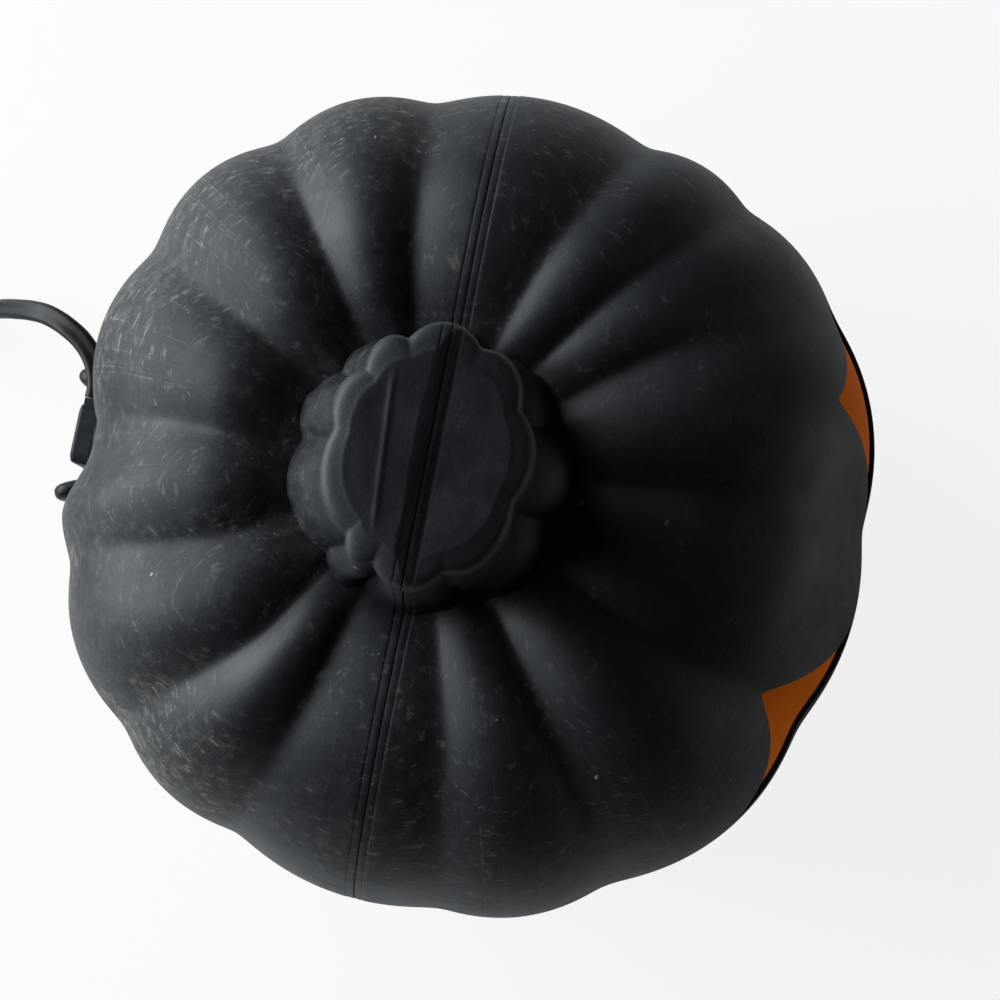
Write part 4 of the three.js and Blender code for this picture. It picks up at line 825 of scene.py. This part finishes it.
def build_tie():
    """A flat tie round the coil's turns, with its small head."""
    inside = COIL_RADIUS - COIL_PITCH * COIL_TURNS / COIL_LAYERS - CORD_WIDTH / 2 - TIE_SLACK_SIDES
    outside = COIL_RADIUS + CORD_WIDTH / 2 + TIE_SLACK_SIDES
    low = COIL_BOTTOM - CORD_THICKNESS / 2 - TIE_SLACK_BELOW
    high = COIL_BOTTOM + COIL_LAYER_RISE * (COIL_LAYERS - 1) + CORD_THICKNESS / 2 + TIE_SLACK_ABOVE
    loops = []
    for grown in (0.0, TIE_THICKNESS):
        a, b, c, d = inside - grown, outside + grown, low - grown, high + grown
        loops.append(rounded_outline([(a, c), (b, c), (b, d), (a, d)], TIE_CORNER + grown, steps=6))
    points, count = [], len(loops[0])
    for loop in loops:
        for x in (-TIE_WIDTH / 2, TIE_WIDTH / 2):
            points += [(COIL_X + x, COIL_Y + r, z) for r, z in loop]
    faces = []
    for i in range(count):
        j = (i + 1) % count
        for a, b in ((0, 1), (1, 3), (3, 2), (2, 0)):
            faces.append((a * count + i, a * count + j, b * count + j, b * count + i))
    tie = fixed(new_object("coil_tie", points, faces, SHELL_CREASE))
    centre = (COIL_X, COIL_Y + (inside + outside) / 2, high + TIE_HEAD_RISE)
    head = pebble("coil_tie_head", centre, np.diag(TIE_HEAD), TIE_HEAD_SQUARENESS)
    for piece in (tie, head):
        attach(piece, "lamp")
    return [tie, head]


def build_bulb_base():
    """The bulb's screw base as a thin rolled sheet, with its thread and the cup that holds the insulator."""
    low, high = [np.array(v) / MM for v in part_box("bulb_base")]
    x, z = (low[0] + high[0]) / 2, (low[2] + high[2]) / 2
    mouth, end, radius = low[1], high[1], (high[0] - low[0]) / 2
    wall = np.linspace(mouth, end - CUP_START, BASE_ROWS)
    wall_radius = radius - THREAD_DEPTH - BASE_CLEARANCE
    inner_end = end - BASE_SHEET
    cup = [(end - a, radius - b) for a, b in CUP_OUTSIDE] + [(end, CUP_HOLE), (inner_end, CUP_HOLE)]
    cup += [(inner_end - a, radius - b) for a, b in CUP_INSIDE]
    profile = [(y, wall_radius, 1.0) for y in wall] + [(y, r, 0.0) for y, r in cup]
    profile += [(y, wall_radius - BASE_SHEET, 1.0) for y in wall[::-1]]
    points = []
    for y, r, share in profile:
        started = share * float(smooth_step(y, mouth, mouth + THREAD_START))
        fade = started * (1 - float(smooth_step(y, end - THREAD_END, end - THREAD_STOP)))
        for j in range(BASE_COLUMNS):
            a = 2 * math.pi * j / BASE_COLUMNS
            here = r + THREAD_DEPTH * fade * math.cos(2 * math.pi * (y - mouth) / THREAD_PITCH - a)
            points.append((x + here * math.cos(a), y, z + here * math.sin(a)))
    rows, columns = len(profile), BASE_COLUMNS
    faces = grid_faces(rows, columns)
    last = (rows - 1) * columns
    faces += [(last + j, last + (j + 1) % columns, (j + 1) % columns, j) for j in range(columns)]
    base = fixed(new_object("bulb_base_fine", points, faces, CORD_CREASE))
    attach(base, "bulb")
    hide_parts("bulb_base")
    return base


finger_pads = build_finger_pads()
bulb_base = build_bulb_base()
tie_pieces = build_tie()


for name, width in EDGE_WIDTHS.items():
    edge = NODES[name].modifiers.new("soft_edges", "BEVEL")
    edge.width = width * MM
    edge.segments = 2
    edge.limit_method = "ANGLE"
    edge.angle_limit = math.radians(EDGE_ANGLE)


# Materials

def material(name, color, roughness, metallic=0.0, **sockets):
    made = bpy.data.materials.new(name)
    made.use_nodes = True
    shader = made.node_tree.nodes["Principled BSDF"]
    shader.inputs["Base Color"].default_value = (*color, 1)
    shader.inputs["Roughness"].default_value = roughness
    shader.inputs["Metallic"].default_value = metallic
    for key, value in sockets.items():
        shader.inputs[key.replace("_", " ")].default_value = value
    return made


def put(obj, made):
    obj.data.materials.clear()
    obj.data.materials.append(made)


class Graph:
    """Short calls for building a material's nodes."""

    def __init__(self, made):
        self.tree = made.node_tree
        self.shader = self.tree.nodes.get("Principled BSDF")

    def node(self, kind, **settings):
        """A node, with its inputs given as in_NAME or in_NUMBER."""
        made = self.tree.nodes.new(kind)
        for key, value in settings.items():
            if key.startswith("in_"):
                name = key[3:].replace("_", " ")
                self.feed(made.inputs[int(name)] if name.isdigit() else made.inputs[name], value)
            else:
                setattr(made, key, value)
        return made

    def feed(self, slot, value):
        if isinstance(value, bpy.types.NodeSocket):
            self.tree.links.new(value, slot)
        else:
            slot.default_value = value

    def place(self):
        return self.node("ShaderNodeTexCoord").outputs["Object"]

    def noise(self, place, scale, detail, roughness=0.5, output=0):
        return self.node("ShaderNodeTexNoise", in_Vector=place, in_Scale=scale, in_Detail=detail,
                         in_Roughness=roughness).outputs[output]

    def math(self, operation, a, b):
        return self.node("ShaderNodeMath", operation=operation, in_0=a, in_1=b).outputs[0]

    def product(self, first, *others):
        for other in others:
            first = self.math("MULTIPLY", first, other)
        return first

    def scaled(self, place, scale):
        return self.node("ShaderNodeVectorMath", operation="MULTIPLY", in_0=place, in_1=scale).outputs[0]

    def link(self, source, name):
        self.tree.links.new(source, self.shader.inputs[name])

    def ramp(self, value, low, high, out_low=0.0, out_high=1.0):
        """Goes smoothly from out_low, where the value is low, to out_high, where it is high."""
        made = self.node("ShaderNodeMapRange", interpolation_type="SMOOTHSTEP", in_Value=value, in_From_Min=low,
                         in_From_Max=high, in_To_Min=out_low, in_To_Max=out_high)
        return made.outputs["Result"]

    def mix(self, share, a, b):
        """The first colour at share 0, the second at share 1."""
        made = self.node("ShaderNodeMix", data_type="RGBA")
        slots = [slot for slot in made.inputs if slot.enabled]
        for value, slot in zip((share, a, b), slots):
            self.feed(slot, (*value, 1) if isinstance(value, tuple) else value)
        return [slot for slot in made.outputs if slot.enabled][0]

    def bump(self, height, strength, depth):
        made = self.node("ShaderNodeBump", in_Strength=strength, in_Distance=depth, in_Height=height)
        self.link(made.outputs[0], "Normal")


def shell_material():
    """Matt black plastic, dusted, scratched and with a painted bluish sheen on the shoulder, all painted
    stronger towards the lit back; a few pale specks.
    """
    made = material("black_shell_plastic", (0.014, 0.015, 0.018), 0.5, Specular_IOR_Level=0.36)
    g = Graph(made)
    place = g.place()
    x, y, z = g.node("ShaderNodeSeparateXYZ", in_Vector=place).outputs
    angle = g.math("ARCTAN2", y, x)
    polar = g.node("ShaderNodeCombineXYZ", in_X=g.product(angle, 0.1), in_Y=z).outputs[0]

    grain = g.noise(place, scale=1300, detail=3)
    cloud = g.noise(place, scale=26, detail=6, roughness=0.66)
    patch = g.noise(place, scale=330, detail=5, roughness=0.75)
    streak = g.noise(g.scaled(polar, (1500, 1, 110)), scale=1, detail=4, roughness=0.7)
    hair = g.noise(g.scaled(place, (90, 160, 900)), scale=2.2, detail=3)
    slanted = g.node("ShaderNodeMapping", in_Vector=place, in_Rotation=(0.7, 0.5, 0.6),
                     in_Scale=(110, 130, 1500))
    slant = g.noise(slanted.outputs[0], scale=1, detail=3)

    sides = g.ramp(z, 0.045, 0.112, 0.22, 1.0)
    # The rear side faces the window lamp: the dusting, the sheen and the scratches are painted stronger there
    # as painted light.
    rear = g.ramp(y, -0.06, 0.07, 0.12, 1.0)
    low = g.product(g.ramp(z, 0.166, 0.108), sides)
    # Dusting on the shoulder: real dirt, with painted light making it heavier on the lit rear side.
    dust_and_light_film = g.product(low, rear, g.ramp(cloud, 0.36, 0.62, 0.2, 1.0))
    dust_and_light = g.product(dust_and_light_film, g.ramp(patch, 0.44, 0.62, 0.12, 1.0))
    marks = g.math("MAXIMUM", g.ramp(streak, 0.60, 0.66), g.ramp(hair, 0.60, 0.67))
    marks = g.math("MAXIMUM", marks, g.ramp(slant, 0.62, 0.68))
    worn = g.product(g.ramp(z, 0.170, 0.105, 0.05, 1), g.ramp(cloud, 0.38, 0.6, 0.15, 1))
    scratch_and_light = g.product(marks, g.product(worn, g.ramp(patch, 0.42, 0.58)))
    # Scratches are real wear, painted stronger towards the lit back as painted highlight.
    scratch_and_light = g.product(scratch_and_light, g.ramp(y, -0.07, 0.05, 0.3, 1.0), sides)

    bend = 0.0014
    moved = g.node("ShaderNodeVectorMath", operation="MULTIPLY_ADD", in_1=(bend, bend, bend), in_2=place,
                   in_0=g.noise(place, scale=900, detail=1, output="Color"))
    dots = g.node("ShaderNodeTexVoronoi", in_Vector=moved.outputs[0], in_Scale=120, in_Randomness=1)
    pick = g.node("ShaderNodeSeparateColor", in_0=dots.outputs["Color"]).outputs[0]
    speck = g.math("LESS_THAN", dots.outputs["Distance"], g.ramp(pick, 0.5, 1.0, 0.0, 0.075))
    speck = g.product(speck, g.ramp(cloud, 0.45, 0.6))

    black, painted_sheen_tone = (0.005, 0.006, 0.0085), (0.028, 0.031, 0.038)
    dust_and_light_tone, pale, chalky = (0.21, 0.19, 0.16), (0.42, 0.40, 0.36), (0.33, 0.33, 0.31)
    # Painted sheen: a lighter bluish tone in patches on the lit rear side, with a rougher finish there.
    painted_sheen = g.product(g.ramp(patch, 0.35, 0.7), g.ramp(cloud, 0.35, 0.7, 0.2, 1), rear)
    color = g.mix(g.product(painted_sheen, 0.4), black, painted_sheen_tone)
    color = g.mix(g.product(dust_and_light, 0.5), color, dust_and_light_tone)
    color = g.mix(g.product(scratch_and_light, 0.7), color, pale)
    color = g.mix(g.product(speck, 0.8), color, chalky)
    g.link(color, "Base Color")
    g.link(g.math("ADD", g.ramp(cloud, 0.32, 0.68, 0.46, 0.62), g.product(painted_sheen, 0.16)), "Roughness")
    g.bump(g.math("ADD", g.product(grain, 0.5), g.product(patch, 0.8)), 0.28, 0.00025)
    return made


def liner_material():
    made = material("orange_liner", (0.9, 0.19, 0.005), 0.6, Specular_IOR_Level=0.02)
    g = Graph(made)
    place = g.place()
    cloud = g.noise(place, scale=18, detail=2)
    grain = g.noise(place, scale=700, detail=3)
    color = g.mix(g.ramp(cloud, 0.3, 0.7), (0.84, 0.17, 0.004), (0.95, 0.21, 0.006))
    g.link(g.mix(g.ramp(grain, 0.55, 0.8, 0, 0.25), color, (0.6, 0.11, 0.003)), "Base Color")
    g.bump(grain, 0.15, 0.0001)
    return made


def vinyl_material(name, color, roughness):
    made = material(name, color, roughness, Specular_IOR_Level=0.25)
    g = Graph(made)
    noise = g.noise(g.place(), scale=260, detail=4)
    g.link(g.ramp(noise, 0.3, 0.7, roughness - 0.06, roughness + 0.08), "Roughness")
    lighter = tuple(c * 1.6 + 0.001 for c in color)
    g.link(g.mix(g.ramp(noise, 0.45, 0.8), color, lighter), "Base Color")
    g.bump(noise, 0.2, 0.0001)
    return made


def metal_material(name, color, roughness):
    made = material(name, color, roughness, 1.0)
    g = Graph(made)
    place = g.place()
    noise = g.noise(place, scale=600, detail=3)
    tarnish = g.noise(place, scale=90, detail=4)
    g.link(g.ramp(noise, 0.3, 0.7, roughness - 0.05, roughness + 0.1), "Roughness")
    darker = tuple(c * 0.7 for c in color)
    g.link(g.mix(g.ramp(tarnish, 0.45, 0.75), color, darker), "Base Color")
    return made


SHELL = shell_material()
LINER = liner_material()
MOULDING = vinyl_material("black_moulding", (0.004, 0.004, 0.0045), 0.42)
GREY = vinyl_material("grey_moulding", (0.010, 0.011, 0.013), 0.5)
VINYL = vinyl_material("cord_vinyl", (0.003, 0.003, 0.0035), 0.45)
BRASS = metal_material("brass_sheet", (0.60, 0.40, 0.14), 0.3)
STEEL = metal_material("spring_steel", (0.52, 0.54, 0.56), 0.28)
SOLDER = metal_material("solder", (0.36, 0.37, 0.38), 0.42)
INSULATOR = vinyl_material("dark_insulator", (0.012, 0.012, 0.016), 0.16)
GLASS = material("bulb_clear_glass", (0.95, 0.97, 0.97), 0.03, Transmission_Weight=1.0, IOR=1.5)

PIECE_MATERIALS = {
    SHELL: [front_shell, rear_shell], LINER: [liner], VINYL: [lead, coil], BRASS: [bulb_base],
    MOULDING: finger_pads + tie_pieces,
}
for made, pieces in PIECE_MATERIALS.items():
    for piece in pieces:
        put(piece, made)

NODE_MATERIALS = {
    MOULDING: ["lamp_holder", "clip_arm_right", "clip_arm_left", "switch_bottom", "switch_top", "switch_wheel",
               "plug_body"],
    GREY: ["cord_cap"],
    BRASS: ["socket_shell", "centre_contact", "shell_contact", "switch_rivet", "switch_strip_1",
            "switch_strip_2", "plug_blade_wide", "plug_blade_narrow"],
    STEEL: [f"liner_washer_{i}" for i in range(1, 6)] + ["bulb_filament"],
    SOLDER: ["bulb_contact"],
    INSULATOR: ["bulb_insulator"],
    GLASS: ["bulb_glass", "bulb_mount"],
}
for made, names in NODE_MATERIALS.items():
    for name in names:
        put(NODES[name], made)
        shade(NODES[name])


# Floor, light and background

def build_stage():
    """A pale floor, white to the camera and through the glass, in a white room that lights it little."""
    corners = np.array([(-1, -1, 0), (1, -1, 0), (1, 1, 0), (-1, 1, 0)]) * FLOOR_HALF_WIDTH
    floor = new_object("floor", corners, [(0, 1, 2, 3)])
    made = material("pale_floor", (0.8, 0.8, 0.8), 0.9)
    g = Graph(made)
    path = g.node("ShaderNodeLightPath")
    seen = g.math("MAXIMUM", path.outputs["Is Camera Ray"], path.outputs["Is Transmission Ray"])
    glow = g.node("ShaderNodeEmission", in_Strength=1.0)
    mixed = g.node("ShaderNodeMixShader", in_0=g.product(seen, FLOOR_GLOW), in_1=g.shader.outputs[0],
                   in_2=glow.outputs[0])
    g.tree.links.new(mixed.outputs[0], g.tree.nodes["Material Output"].inputs[0])
    put(floor, made)

    world = bpy.data.worlds.new("studio")
    bpy.context.scene.world = world
    world.use_nodes = True
    g = Graph(world)
    path = g.node("ShaderNodeLightPath")
    background = g.tree.nodes["Background"]
    g.feed(background.inputs["Strength"], g.ramp(path.outputs["Is Camera Ray"], 0, 1, WORLD_LIGHT, 1.0))
    background.inputs["Color"].default_value = (1, 1, 1, 1)


def add_light(name, place, target, size, power, color):
    """A rectangular lamp that faces a target."""
    data = bpy.data.lights.new(name, "AREA")
    data.shape = "RECTANGLE"
    data.size, data.size_y = size
    data.energy = power
    data.color = color
    obj = linked(name, data)
    obj.location = Vector(place)
    obj.rotation_euler = (Vector(target) - Vector(place)).to_track_quat("-Z", "Y").to_euler()


build_stage()
add_light("window", (0.2, 1.3, 0.62), (0, 0, 0.1), (1.9, 1.1), 58, (0.87, 0.945, 1.0))
add_light("fill", (0.9, -0.6, 0.6), (0, 0, 0.08), (0.8, 0.8), 0.15, (1.0, 0.98, 0.95))
add_light("face", (0.05, -1.2, 0.12), (0, 0, 0.1), (0.9, 0.2), 1.6, (1.0, 0.96, 0.9))

bpy.context.scene.view_settings.view_transform = "Standard"
